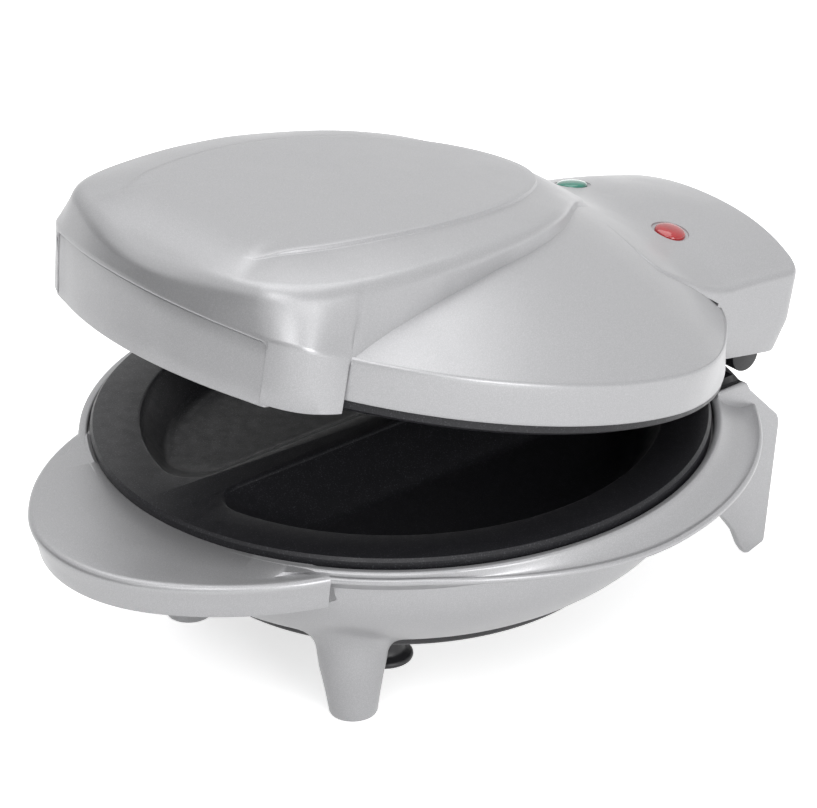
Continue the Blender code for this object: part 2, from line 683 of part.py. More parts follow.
def make_hinge_bracket():
    """Black tray and box in the tower, with the knuckle that carries the hinge pin."""
    rim = RIM_HEIGHT
    tray = bracket_block("hinge_bracket", 0, rim + TOWER_TOP)
    tray = cut(tray, leaning_block("tray", BLADE_THICKNESS / 2 + BRACKET_RIM, [
        (rim - BRACKET_FLOOR_DROP, 0, BLADE_BACK), (rim + OVERRUN, 0, BLADE_BACK)]))
    block = box("block", (-BRACKET_BOX_HALF_WIDTH, TOWER_FRONT, rim - BRACKET_DROP + GAP * 2),
                (BRACKET_BOX_HALF_WIDTH, BRACKET_BOX_BACK, rim - BRACKET_BOX_DROP))
    clear = turned("clear", [(0, rim + OVERRUN), (RIM_INNER_RADIUS + GAP * 3, rim + OVERRUN),
                             (RIM_INNER_RADIUS + GAP * 3, 0), (0, 0)])
    block = cut(block, clear)
    knuckle = slab("knuckle", arc((HINGE_BACK, HINGE_HEIGHT), KNUCKLE_RADIUS, -math.pi / 2, math.pi / 2, 12)
                   + [(BRACKET_BOX_BACK - BASE_WALL / 2, rim - BRACKET_BOX_DROP - GAP),
                      (BRACKET_BOX_BACK - BASE_WALL / 2, rim - BRACKET_DROP + GAP * 2)], KNUCKLE_HALF_WIDTH)
    bore = rod("bore", PIN_RADIUS + PIN_HOLE_CLEARANCE, (-KNUCKLE_HALF_WIDTH - OVERRUN, HINGE_BACK, HINGE_HEIGHT),
               (KNUCKLE_HALF_WIDTH + OVERRUN, HINGE_BACK, HINGE_HEIGHT), 24)
    return cut(fuse(tray, block, knuckle), bore)


def make_bottom_cover():
    """Shallow black dish under the bowl with vents, screw holes and four cord posts."""
    top = RIM_HEIGHT - BOWL_BOTTOM_DROP - GAP
    low = top - COVER_DEPTH
    spigot = BOTTOM_OPENING_RADIUS - GAP
    cover = turned("bottom_cover", [
        (0, low + COVER_THICKNESS), (COVER_FLAT_RADIUS, low + COVER_THICKNESS), (spigot - COVER_THICKNESS, top),
        (spigot - COVER_THICKNESS, top + COVER_SPIGOT), (spigot, top + COVER_SPIGOT), (spigot, top),
        (COVER_RADIUS, top), (COVER_RADIUS, top - COVER_EDGE), (COVER_FLAT_RADIUS, low), (0, low)])
    for i in range(4):
        turn = math.pi / 4 + i * math.pi / 2
        x, y = POST_PLACE * math.sqrt(2) * math.cos(turn), POST_PLACE * math.sqrt(2) * math.sin(turn)
        post = turned("post", [
            (0, low + COVER_THICKNESS / 2), (POST_NECK_RADIUS, low + COVER_THICKNESS / 2),
            (POST_NECK_RADIUS, low - POST_HEIGHT + POST_FLANGE), (POST_FLANGE_RADIUS, low - POST_HEIGHT + POST_FLANGE),
            (POST_FLANGE_RADIUS, low - POST_HEIGHT + FOOT_EDGE), (POST_FLANGE_RADIUS - FOOT_EDGE, low - POST_HEIGHT),
            (0, low - POST_HEIGHT)], SMALL_STEPS)
        post.data.transform(Matrix.Translation((x, y, 0)))
        cover = fuse(cover, post)
    for side in (-1, 1):
        cover = cut(cover, rod("notch", LEG_ROOT_RADIUS + GAP, (side * LEG_X, -LEG_Y, 0),
                               (side * LEG_X, -LEG_Y, RIM_HEIGHT), 28))
    for x, y in screw_places():
        seat = top - COVER_EDGE * 1.3
        cover = cut(cover, rod("hole", SCREW_RADIUS + GAP, (x, y, low - OVERRUN), (x, y, top + OVERRUN)),
                    rod("sink", SCREW_HEAD_RADIUS + GAP, (x, y, low - OVERRUN), (x, y, seat)))
    for i in range(VENT_COUNT):
        turn = Matrix.Rotation(2 * math.pi * (i + 0.5) / VENT_COUNT, 4, "Z")
        vent = box("vent", (VENT_INNER, -VENT_WIDTH / 2, low - OVERRUN), (VENT_OUTER, VENT_WIDTH / 2, low + OVERRUN))
        vent.data.transform(turn)
        cover = cut(cover, vent)
    return cover


def make_screw(name, x, y):
    """A pan-head screw pointing up through the bottom cover."""
    seat = RIM_HEIGHT - BOWL_BOTTOM_DROP - GAP - COVER_EDGE * 1.3 - GAP
    return turned_at(name, [
        (0, seat + SCREW_LENGTH), (SCREW_RADIUS * 0.6, seat + SCREW_LENGTH), (SCREW_RADIUS, seat + SCREW_LENGTH * 0.85),
        (SCREW_RADIUS, seat), (SCREW_HEAD_RADIUS, seat), (SCREW_HEAD_RADIUS, seat - SCREW_HEAD_HEIGHT * 0.6),
        (SCREW_HEAD_RADIUS * 0.7, seat - SCREW_HEAD_HEIGHT), (0, seat - SCREW_HEAD_HEIGHT)], x, y)


def turned_at(name, profile, x, y, steps=SMALL_STEPS):
    """A small turned piece about its own upright axis."""
    item = turned(name, profile, steps)
    item.data.transform(Matrix.Translation((x, y, 0)))
    return item


# Cooking plates and what lies behind them

def well_outline(grow, shrink_round, shrink_flat, side):
    """A half-moon with round corners: a flat edge beside the bar and a round edge near the rim."""
    radius = WELL_RADIUS - shrink_round + grow
    flat = WELL_DIVIDER + shrink_flat - grow
    corner = WELL_CORNER + grow
    across = flat + corner
    back = math.sqrt((radius - corner) ** 2 - across ** 2)
    turn = math.atan2(back, across)
    points = arc((0, 0), radius, -turn, turn, 18)[1:-1]
    points = arc((across, -back), corner, -math.pi, -turn, 4) + points
    points += arc((across, back), corner, turn, math.pi, 4)
    return [(side * x, y) for x, y in points]


def well_solid(name, grow, start, face, way, side):
    """A well from a depth in front of the plate's face down to its floor. Way is 1 for a well cut downwards."""
    floor = WELL_DEPTH + grow
    rings = []
    for depth, share, extra in ((start, 0, 0), (WELL_FILLET * (grow > 0), 0, 0), (floor - WELL_FILLET, 1, 0),
                                (floor - WELL_FILLET * 0.3, 1, WELL_FILLET * 0.35), (floor, 1, WELL_FILLET)):
        outline = well_outline(grow, WELL_INSET * share + extra, WELL_SLOPE * share + extra, side)
        rings.append([(x, y, face - way * depth) for x, y in outline])
    return loft(name, rings)


def make_plate(name, radius, chamfer, face, back, way):
    """A cast plate: a disc with two half-moon wells, whose walls stand out behind it."""
    edge_fall = LOWER_PLATE_CHAMFER if way > 0 else UPPER_PLATE_CHAMFER / 2
    plate = turned(name, [(0, face), (radius - chamfer, face), (radius, face - way * edge_fall), (radius, back), (0, back)])
    backs = [well_solid("back", PLATE_WALL, PLATE_RIM_THICKNESS / 2, face, way, side) for side in (-1, 1)]
    wells = [well_solid("well", 0, -OVERRUN, face, way, side) for side in (-1, 1)]
    return cut(fuse(plate, *backs), *wells)


def make_heater(name, height):
    """A sheathed ring element, open at the back where its two thin pins face each other."""
    start = math.pi / 2 + HEATER_GAP_ANGLE / 2
    sweep = 2 * math.pi - HEATER_GAP_ANGLE
    ring = tube(name, [(x, y, height) for x, y in arc((0, 0), HEATER_RING_RADIUS, start, start + sweep, 44)],
                HEATER_TUBE_RADIUS)
    for turn, way in ((start, 1), (start + sweep, -1)):
        root = Vector((HEATER_RING_RADIUS * math.cos(turn), HEATER_RING_RADIUS * math.sin(turn), height))
        along = Vector((math.sin(turn), -math.cos(turn), 0)) * way
        ring = fuse(ring, rod("pin", HEATER_PIN_RADIUS, root - along * HEATER_PIN_RADIUS,
                              root + along * HEATER_PIN_LENGTH, 12))
    return ring


def make_shield(name, radius, shoulder, floor_radius, rim, depth, way):
    """A pressed sheet dish behind a heating element."""
    floor = rim - way * depth
    back = way * SHIELD_THICKNESS
    return turned(name, [(0, floor), (floor_radius, floor), (shoulder, rim), (radius, rim), (radius, rim - back),
                         (shoulder + SHIELD_THICKNESS / 2, rim - back),
                         (floor_radius + SHIELD_THICKNESS / 2, floor - back), (0, floor - back)], 44)


def make_thermostat(name, seat, way):
    """A disc thermostat on its flange, pressed to the back of a plate."""
    body = seat - way * THERMOSTAT_FLANGE
    end = seat - way * THERMOSTAT_HEIGHT
    wide = THERMOSTAT_RADIUS
    return turned(name, [(0, seat), (wide, seat), (wide, body), (wide * 0.8, body), (wide * 0.8, end), (0, end)], 24)


# Lid

def lid_height(height):
    """World height of a height above the shut lid's skirt plane."""
    return LID_PLANE + height


def dome_profile(shrink, low):
    """Profile of the skirt and dome, drawn in by a wall."""
    crease, rise = CREASE_RADIUS - DOME_EDGE, DOME_HEIGHT - CREASE_HEIGHT - DOME_EDGE / 2
    sphere = (crease ** 2 + rise ** 2) / (2 * rise)
    points = []
    turns = 9
    widest = math.asin(crease / sphere)
    for i in range(turns + 1):
        turn = widest * i / turns
        points.append(((sphere - shrink) * math.sin(turn),
                       lid_height(DOME_HEIGHT - sphere + (sphere - shrink) * math.cos(turn))))
    points.append((CREASE_RADIUS - DOME_EDGE / 4 - shrink, lid_height(CREASE_HEIGHT - shrink / 4)))
    points.append((CREASE_RADIUS - shrink, lid_height(CREASE_HEIGHT - DOME_EDGE - shrink / 2)))
    points.append((SKIRT_RADIUS - shrink, lid_height(0)))
    if low < 0:
        points.append((SKIRT_RADIUS - shrink, lid_height(low)))
    points.append((0, lid_height(low)))
    return points


def tongue_outline():
    """Plan of the tongue from its shares: wide at the front, narrowing to a round tip at the back."""
    half = [(x * TONGUE_HALF_WIDTH, y * (TONGUE_FRONT if y < 0 else TONGUE_TIP)) for x, y in TONGUE_OUTLINE_SHARES]
    return smooth_loop(both_sides(half), 2)


def leaf_outline():
    """Plan of the leaf-shaped panel line on the tongue's top."""
    half = [(x * LEAF_HALF_WIDTH, y * (LEAF_FRONT if y < 0 else LEAF_TIP)) for x, y in LEAF_OUTLINE_SHARES]
    return both_sides(half)


def tongue_top(x, y):
    """Height of the tongue's top at a place: it falls away from its peak and to both sides."""
    across = min(1.0, abs(x) / TONGUE_HALF_WIDTH)
    return lid_height(TONGUE_PEAK - TONGUE_ROLL * (y - TONGUE_PEAK_BACK) ** 2 + TONGUE_CROWN * (1 - across * across))


def crowned(name, outline, bottoms, top, edge, middle, shrink=0.0):
    """A solid with upright walls, a rounded top edge and a crowned top that follows a height function."""
    rings = [raised(ring, height) for ring, height in bottoms]
    for turn in (0, math.pi / 5, math.pi / 3, math.pi / 2):
        drop = edge * (1 - math.sin(turn)) + shrink
        rings.append(raised(inset(outline, edge * (1 - math.cos(turn))), lambda x, y, d=drop: top(x, y) - d))
    inner = inset(outline, edge)
    for share in (0.66, 0.33):
        rings.append(raised(shrunk(inner, share, middle), lambda x, y: top(x, y) - shrink))
    return loft(name, rings, (0, middle, top(0, middle) - shrink))


def tongue_solid(name, shrink, low):
    """The tongue, drawn in by a wall."""
    outline = inset(tongue_outline(), shrink)
    return crowned(name, outline, [(outline, lid_height(low))], tongue_top, TONGUE_EDGE_RADIUS - shrink,
                   -TONGUE_FRONT / 3, shrink)


def housing_outline(shrink, height):
    """Plan of the hinge housing at a height: sides that draw in to the back and a bowed back wall."""
    pull = HOUSING_PULL * max(0.0, (HOUSING_KNEE - height) / (HOUSING_KNEE + HOUSING_SKIRT))
    back, side_back = HOUSING_BACK - pull - shrink, HOUSING_SIDE_BACK - pull - shrink
    wide = HOUSING_BACK_HALF_WIDTH - shrink
    bow = back - side_back - HOUSING_CORNER / 3
    radius = (wide * wide + bow * bow) / (2 * bow)
    reach = math.asin((wide - HOUSING_CORNER / 2) / radius)
    rear = arc((0, back - radius), radius, math.pi / 2 - reach, math.pi / 2 + reach, 14)
    front = HOUSING_FRONT + shrink
    side = HOUSING_FRONT_HALF_WIDTH - shrink
    middle = ((side + wide) / 2, (front + side_back) / 2)
    return ([(side, front), middle, (wide, side_back - HOUSING_CORNER / 2)] + rear
            + [(-wide, side_back - HOUSING_CORNER / 2), (-middle[0], middle[1]), (-side, front)])


def housing_solid(name, shrink, low):
    """The hinge housing, drawn in by a wall."""
    outline = housing_outline(shrink, HOUSING_KNEE)
    foot = housing_outline(shrink, -HOUSING_SKIRT)
    bottoms = [(foot, lid_height(low)), (outline, lid_height(HOUSING_KNEE))]
    if low < -HOUSING_SKIRT:
        bottoms.insert(1, (foot, lid_height(-HOUSING_SKIRT)))

    def top(x, y):
        return lid_height(housing_top(x, y))

    edge = HOUSING_EDGE_RADIUS - shrink / 2
    return crowned(name, outline, bottoms, top, edge, (HOUSING_FRONT + HOUSING_BACK) / 2, shrink)


def panel_block(name, outer, inner, half_width, low, high):
    """A curved block concentric with the tongue's front wall."""
    middle = TONGUE_FRONT_RADIUS - TONGUE_FRONT
    start = -math.pi / 2
    ring = []
    for radius, way in ((TONGUE_FRONT_RADIUS - outer, 1), (TONGUE_FRONT_RADIUS - inner, -1)):
        sweep = math.asin(half_width / radius)
        ring += arc((0, middle), radius, start - way * sweep, start + way * sweep, 12)
    return loft(name, [raised(ring, low), raised(ring, high)])


def leaf_cutter():
    """What is pressed out of the tongue's top to leave the leaf's shallow floor."""
    outline = leaf_outline()
    middle = -LEAF_FRONT / 3
    rings = []
    for ring, share in ((outline, 0.0), (inset(outline, LEAF_STEP), 1.0),
                        (shrunk(inset(outline, LEAF_STEP), 0.5, middle), 1.0)):
        rings.append(raised(ring, lambda x, y, s=share: tongue_top(x, y) - LEAF_DEPTH * s + MERGE * 10))
    rings.insert(0, raised(inset(outline, -LEAF_STEP * 4), lambda x, y: tongue_top(x, y) + LEAF_DEPTH * 4))
    return loft("leaf", rings, (0, middle, tongue_top(0, middle) - LEAF_DEPTH))


def make_lid_shell():
    """Dome, tongue and hinge housing as one hollow moulding, with ribs that the upper plate seats on."""
    shell = fuse(turned("lid_shell", dome_profile(0, 0)), tongue_solid("tongue", 0, -TONGUE_SKIRT),
                 housing_solid("housing", 0, -HOUSING_SKIRT))
    hollow = -HOUSING_SKIRT - OVERRUN
    shell = cut(shell, leaf_cutter(), turned("dome_hollow", dome_profile(LID_WALL, hollow), ROUND_STEPS),
                tongue_solid("tongue_hollow", LID_WALL, hollow), housing_solid("housing_hollow", LID_WALL, hollow))
    window = panel_block("window", -OVERRUN, PANEL_SET_IN + PANEL_THICKNESS + OVERRUN, PANEL_HALF_WIDTH + GAP,
                         lid_height(hollow), lid_height(PANEL_TOP + GAP))
    shell = cut(shell, window)
    seat = lid_height(UPPER_PLATE_BACK + GAP)
    for angle in RIB_ANGLES:
        rib = box("rib", (SKIRT_RADIUS - RIB_REACH, -RIB_THICKNESS / 2, seat),
                  (SKIRT_RADIUS - LID_WALL / 2, RIB_THICKNESS / 2, seat + RIB_HEIGHT))
        rib.data.transform(Matrix.Rotation(angle, 4, "Z"))
        shell = fuse(shell, rib)
    for side in (-1, 1):
        x = side * LENS_X
        top = lid_height(housing_top(x, LENS_BACK))
        through = rod("hole", LENS_RADIUS + GAP, (x, LENS_BACK, top - LENS_DEPTH * 2), (x, LENS_BACK, top + LENS_DEPTH))
        recess = rod("recess", LENS_RECESS_RADIUS, (x, LENS_BACK, top - LENS_RECESS_DEPTH),
                     (x, LENS_BACK, top + LENS_DEPTH))
        post_x = side * BOARD_POST_X
        under = lid_height(housing_top(post_x, LENS_BACK) - LID_WALL / 2)
        post = rod("post", BOARD_POST_RADIUS, (post_x, LENS_BACK + LENS_RECESS_RADIUS + BOARD_POST_RADIUS, lid_height(
            BOARD_HEIGHT + BOARD_SIZE[2] + GAP)), (post_x, LENS_BACK + LENS_RECESS_RADIUS + BOARD_POST_RADIUS, under), 14)
        shell = fuse(cut(shell, through, recess), post)
    return shell


def make_lens(name, side):
    """A domed indicator lens, seated in its recess on the housing."""
    x = side * LENS_X
    top = lid_height(housing_top(x, LENS_BACK)) + LENS_PROUD
    profile = [(LENS_RADIUS * math.sin(t), top - LENS_DOME * (1 - math.cos(t)))
               for t in (0, math.pi / 6, math.pi / 3, math.pi / 2)]
    profile += [(LENS_RADIUS, top - LENS_PROUD - LENS_DEPTH), (LENS_RADIUS * 0.75, top - LENS_PROUD - LENS_DEPTH),
                (LENS_RADIUS * 0.75, top - LENS_PROUD * 2), (0, top - LENS_PROUD * 2)]
    return turned_at(name, profile, x, LENS_BACK, 24)


def make_lamp(name, side):
    """A small glow lamp standing on the board under its lens."""
    x = side * LENS_X
    low = lid_height(BOARD_HEIGHT + BOARD_SIZE[2]) + GAP
    return turned_at(name, [(0, low + LAMP_HEIGHT), (LAMP_RADIUS * 0.6, low + LAMP_HEIGHT - LAMP_RADIUS * 0.2),
                            (LAMP_RADIUS, low + LAMP_HEIGHT - LAMP_RADIUS), (LAMP_RADIUS, low), (0, low)], x, LENS_BACK, 14)


def make_hinge_cover():
    """Black plate closing the housing from below, with the two ears that turn on the pin."""
    low, high = -HINGE_COVER_LOW, -HINGE_COVER_LOW + HINGE_COVER_THICKNESS
    shrink = LID_WALL + GAP
    plate = loft("hinge_cover", [raised(housing_outline(shrink, low), lid_height(low)),
                                 raised(housing_outline(shrink, low), lid_height(high))])
    plate = cut(plate, rod("front", HINGE_COVER_FRONT, (0, 0, lid_height(low) - OVERRUN),
                           (0, 0, lid_height(high) + OVERRUN), ROUND_STEPS))
    top = lid_height(low) + HINGE_COVER_THICKNESS / 2
    for side in (-1, 1):
        outline = arc((HINGE_BACK, HINGE_HEIGHT), EAR_RADIUS, -math.pi, EAR_WRAP, 16)
        outline += [(HINGE_BACK - EAR_TAPER / 2, top), (HINGE_BACK - EAR_RADIUS - EAR_TAPER / 2, top)]
        ear = slab("ear", outline, (EAR_OUTER - EAR_INNER) / 2)
        ear.data.transform(Matrix.Translation((side * (EAR_OUTER + EAR_INNER) / 2, 0, 0)))
        bore = rod("bore", PIN_RADIUS + PIN_HOLE_CLEARANCE, (side * (EAR_INNER - OVERRUN), HINGE_BACK, HINGE_HEIGHT),
                   (side * (PIN_HALF_LENGTH + GAP), HINGE_BACK, HINGE_HEIGHT), 24)
        plate = cut(fuse(plate, ear), bore)
    return plate


# Assembly

def finish(item, material, hinge=None):
    """Give a piece its material and place, and hang it on the hinge if it belongs to the lid."""
    item.data.materials.clear()
    item.data.materials.append(material)
    item.data.transform(Matrix.Translation((0, CENTRE_Y, 0)))
    item.data.shade_smooth()
    item.data.set_sharp_from_angle(angle=math.radians(35))
    if hinge:
        item.parent = hinge
        item.matrix_parent_inverse = Matrix.Translation((0, -HINGE_BACK - CENTRE_Y, -HINGE_HEIGHT))
    return item


def build():
    """Make every piece."""
    silver = new_material("silver_paint", (0.60, 0.60, 0.62), 0.38, 0.55)
    black = new_material("black_plastic", (0.02, 0.02, 0.022), 0.5)
    non_stick = new_material("non_stick_coating", (0.018, 0.018, 0.02), 0.42, 0.1)
    steel = new_material("bright_steel", (0.55, 0.55, 0.56), 0.3, 1.0)
    sheet = new_material("aluminised_sheet", (0.65, 0.65, 0.66), 0.35, 1.0)
    rubber = new_material("rubber", (0.03, 0.03, 0.03), 0.8)
    ceramic = new_material("ceramic", (0.75, 0.72, 0.66), 0.6)
    red = new_material("red_lens", (0.65, 0.02, 0.03), 0.12)
    green = new_material("green_lens", (0.01, 0.35, 0.25), 0.12)
    glass = new_material("lamp_glass", (0.8, 0.75, 0.7), 0.1, 0.0, 0.5)
    board = new_material("circuit_board", (0.35, 0.25, 0.12), 0.6)

    rim, face = RIM_HEIGHT, RIM_HEIGHT + PLATE_FACE
    finish(make_base_shell(), silver)
    finish(make_hinge_bracket(), black)
    finish(rod("hinge_pin", PIN_RADIUS, (-PIN_HALF_LENGTH, HINGE_BACK, HINGE_HEIGHT),
               (PIN_HALF_LENGTH, HINGE_BACK, HINGE_HEIGHT), 24), steel)
    plate_back = face - PLATE_RIM_THICKNESS
    finish(make_plate("lower_plate", LOWER_PLATE_RADIUS, LOWER_PLATE_CHAMFER, face, plate_back, 1), non_stick)
    finish(make_heater("lower_heater", plate_back - GAP - HEATER_TUBE_RADIUS), steel)
    finish(make_shield("lower_heat_shield", LOWER_SHIELD_RADIUS, LOWER_SHIELD_SHOULDER, LOWER_SHIELD_FLOOR_RADIUS,
                       rim - SHIELD_LEDGE_DROP + GAP + SHIELD_THICKNESS, LOWER_SHIELD_DEPTH, 1), sheet)
    finish(make_thermostat("lower_thermostat", plate_back - GAP, 1), ceramic)
    fuse_height = plate_back - GAP - FUSE_RADIUS
    finish(rod("thermal_fuse", FUSE_RADIUS, (0, FUSE_BACK - FUSE_LENGTH / 2, fuse_height),
               (0, FUSE_BACK + FUSE_LENGTH / 2, fuse_height), 14), ceramic)
    finish(make_bottom_cover(), black)
    cover_floor = rim - BOWL_BOTTOM_DROP - GAP - COVER_DEPTH + COVER_THICKNESS + GAP
    wide, deep, tall = TERMINAL_SIZE
    finish(box("terminal_block", (-wide / 2, TERMINAL_BACK - deep / 2, cover_floor),
               (wide / 2, TERMINAL_BACK + deep / 2, cover_floor + tall)), ceramic)
    for number, (x, y) in enumerate(screw_places(), 1):
        finish(make_screw(f"cover_screw_{number}", x, y), steel)
    for name, side in (("front_pad_left", -1), ("front_pad_right", 1)):
        finish(rod(name, PAD_RADIUS, (side * LEG_X, -LEG_Y, 0), (side * LEG_X, -LEG_Y, PAD_THICKNESS)), rubber)
    height = rim - GROMMET_DROP
    neck = GROMMET_RADIUS - BASE_WALL / 2
    start = TOWER_WALL_BACK - BASE_WALL - GAP
    grommet = turned("cord_grommet", [
        (GROMMET_BORE, start + GROMMET_LENGTH), (neck, start + GROMMET_LENGTH),
        (GROMMET_RADIUS, TOWER_WALL_BACK + GAP + BASE_WALL), (GROMMET_RADIUS, TOWER_WALL_BACK + GAP),
        (neck, TOWER_WALL_BACK + GAP), (neck, start), (GROMMET_RADIUS, start), (GROMMET_RADIUS, start - BASE_WALL),
        (GROMMET_BORE, start - BASE_WALL)], SMALL_STEPS, closed=True)
    grommet.data.transform(Matrix.Translation((0, 0, height)) @ Matrix.Rotation(-math.pi / 2, 4, "X"))
    finish(grommet, rubber)

    hinge = bpy.data.objects.new("lid_hinge", None)
    PARTS.objects.link(hinge)
    hinge.location = (0, HINGE_BACK + CENTRE_Y, HINGE_HEIGHT)
    hinge.rotation_euler = (-LID_ANGLE, 0, 0)
    finish(make_lid_shell(), silver, hinge)
    finish(panel_block("grip_panel", PANEL_SET_IN, PANEL_SET_IN + PANEL_THICKNESS, PANEL_HALF_WIDTH,
                       lid_height(-TONGUE_SKIRT), lid_height(PANEL_TOP)), silver, hinge)
    finish(make_plate("upper_plate", UPPER_PLATE_RADIUS, UPPER_PLATE_CHAMFER, lid_height(UPPER_FACE),
                      lid_height(UPPER_PLATE_BACK), -1), non_stick, hinge)
    back = lid_height(UPPER_PLATE_BACK)
    finish(make_heater("upper_heater", back + GAP + HEATER_TUBE_RADIUS), steel, hinge)
    finish(make_shield("upper_heat_shield", UPPER_SHIELD_RADIUS, UPPER_SHIELD_SHOULDER, UPPER_SHIELD_FLOOR_RADIUS,
                       back + GAP + RIB_HEIGHT + GAP, UPPER_SHIELD_DEPTH, -1), sheet, hinge)
    finish(make_thermostat("upper_thermostat", back + GAP, -1), ceramic, hinge)
    finish(make_hinge_cover(), black, hinge)
    finish(make_lens("red_lens", 1), red, hinge)
    finish(make_lens("green_lens", -1), green, hinge)
    finish(make_lamp("red_lamp", 1), glass, hinge)
    finish(make_lamp("green_lamp", -1), glass, hinge)
    wide, deep, thick = BOARD_SIZE
    low = lid_height(BOARD_HEIGHT)
    finish(box("lamp_board", (-wide / 2, LENS_BACK - deep / 2, low),
               (wide / 2, LENS_BACK + deep / 2 + BOARD_POST_RADIUS * 2, low + thick)), board, hinge)


clear_scene()
PARTS = bpy.data.collections.new("omelette_maker")
bpy.context.scene.collection.children.link(PARTS)
build()
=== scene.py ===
"""Omelette maker: a silver-painted cooker with black half-moon pans, its lid standing partly open.

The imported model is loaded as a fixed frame. The painted mouldings, pans, covers and lenses are modelled
again at full fineness where the frame has them, and every finish is built from shader nodes.
"""
from __future__ import annotations

import logging
from dataclasses import dataclass, field
from enum import Enum
from math import asin, atan2, cos, degrees, hypot, pi, radians, remainder, sin, sqrt, tau
from typing import Callable, Sequence

import bpy
from mathutils import Matrix, Vector


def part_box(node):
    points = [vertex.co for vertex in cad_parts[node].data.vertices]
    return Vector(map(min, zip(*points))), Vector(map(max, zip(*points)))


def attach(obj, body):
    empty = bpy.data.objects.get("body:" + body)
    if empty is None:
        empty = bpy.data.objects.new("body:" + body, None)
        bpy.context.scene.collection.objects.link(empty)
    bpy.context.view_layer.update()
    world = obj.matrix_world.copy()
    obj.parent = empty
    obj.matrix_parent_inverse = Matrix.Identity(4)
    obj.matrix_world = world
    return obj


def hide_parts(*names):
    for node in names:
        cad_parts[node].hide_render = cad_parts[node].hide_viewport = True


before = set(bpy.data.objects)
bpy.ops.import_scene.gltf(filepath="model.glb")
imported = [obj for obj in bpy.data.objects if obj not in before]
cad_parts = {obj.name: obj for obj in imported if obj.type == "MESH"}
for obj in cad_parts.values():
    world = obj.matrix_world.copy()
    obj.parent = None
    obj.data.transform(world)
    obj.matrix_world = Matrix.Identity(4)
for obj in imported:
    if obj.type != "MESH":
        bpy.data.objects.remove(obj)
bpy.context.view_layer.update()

LOG = logging.getLogger("omelette_maker")
Point = tuple[float, float, float]
Plan = tuple[float, float]
Piece = bpy.types.Object
Material = bpy.types.Material
Socket = bpy.types.NodeSocket

MM = 0.001
WELD = 0.000004                 # distance at which doubled vertices are merged
AXIS = 0.0005                   # radius in millimetres of a loft's end on its axis, welded to a point
SEAM = 0.0002                   # radians to either side of a crossing, where a section changes its kind
PLATE_FACE = 0.0030             # lower pan's face above the rim plane
HINGE_BACK = 0.1270             # hinge axis behind the pans' centre
HINGE_DROP = 0.0025             # hinge axis below the rim plane
LID_RISE = 0.0087               # skirt plane above the rim plane when the lid is shut
LID_ANGLE = radians(14.0)       # how far the lid stands open
PAN_LOW, PAN_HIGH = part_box("lower_plate")
CENTRE_Y = (PAN_LOW[1] + PAN_HIGH[1]) / 2
RIM_HEIGHT = PAN_HIGH[2] - PLATE_FACE
HINGE_POINT = Vector((0.0, HINGE_BACK + CENTRE_Y, RIM_HEIGHT - HINGE_DROP))
BASE_PLACE = Matrix.Translation((0.0, CENTRE_Y, RIM_HEIGHT))
LID_PLACE = (Matrix.Translation(HINGE_POINT) @ Matrix.Rotation(-LID_ANGLE, 4, "X")
             @ Matrix.Translation(-HINGE_POINT) @ Matrix.Translation((0.0, CENTRE_Y, RIM_HEIGHT + LID_RISE)))


class Body(Enum):
    """The two moving bodies of the cooker."""

    BASE = "base"
    LID = "lid"

    def place(self) -> Matrix:
        """Return the matrix from the body's own drawing plane to its place in the frame."""
        return BASE_PLACE if self is Body.BASE else LID_PLACE


# Modelling tools


def deselect_all() -> None:
    """Leave nothing selected, in object mode."""
    if bpy.context.object and bpy.context.object.mode != "OBJECT":
        bpy.ops.object.mode_set(mode="OBJECT")
    bpy.ops.object.select_all(action="DESELECT")


def select_only(piece: Piece) -> None:
    """Make one object the selected and active one."""
    deselect_all()
    piece.select_set(True)
    bpy.context.view_layer.objects.active = piece


def clean(piece: Piece) -> None:
    """Merge doubled vertices, drop what has no area, and point the faces outwards."""
    select_only(piece)
    bpy.ops.object.mode_set(mode="EDIT")
    bpy.ops.mesh.select_all(action="SELECT")
    bpy.ops.mesh.remove_doubles(threshold=WELD)
    bpy.ops.mesh.dissolve_degenerate(threshold=WELD)
    bpy.ops.mesh.normals_make_consistent(inside=False)
    bpy.ops.object.mode_set(mode="OBJECT")


def loft(name: str, rings: Sequence[Sequence[Point]], loop: bool = False, cap: bool = False) -> Piece:
    """Skin closed rings of equal length: a circle's edge is extruded ring by ring, and each is moved to its place.

    Args:
        name: The new object's name.
        rings: Rings of points, each ring going round once.
        loop: Whether the last ring is joined to the first one.
        cap: Whether the first and last rings are closed by a face.

    Returns:
        The new mesh object.
    """
    rings = list(rings) + ([rings[0]] if loop else [])
    count = len(rings[0])
    deselect_all()
    bpy.ops.mesh.primitive_circle_add(vertices=count, radius=1.0)
    piece = bpy.context.object
    piece.name = piece.data.name = name
    bpy.ops.object.mode_set(mode="EDIT")
    bpy.ops.mesh.select_all(action="SELECT")
    if cap:
        bpy.ops.mesh.edge_face_add()
        bpy.ops.mesh.select_all(action="SELECT")
    for _ in rings[1:]:
        if cap:
            bpy.ops.mesh.extrude_region_move()
        else:
            bpy.ops.mesh.extrude_edges_move()
    bpy.ops.object.mode_set(mode="OBJECT")
    piece.data.vertices.foreach_set("co", [value for ring in rings for point in ring for value in point])
    piece.data.update()
    clean(piece)
    return piece


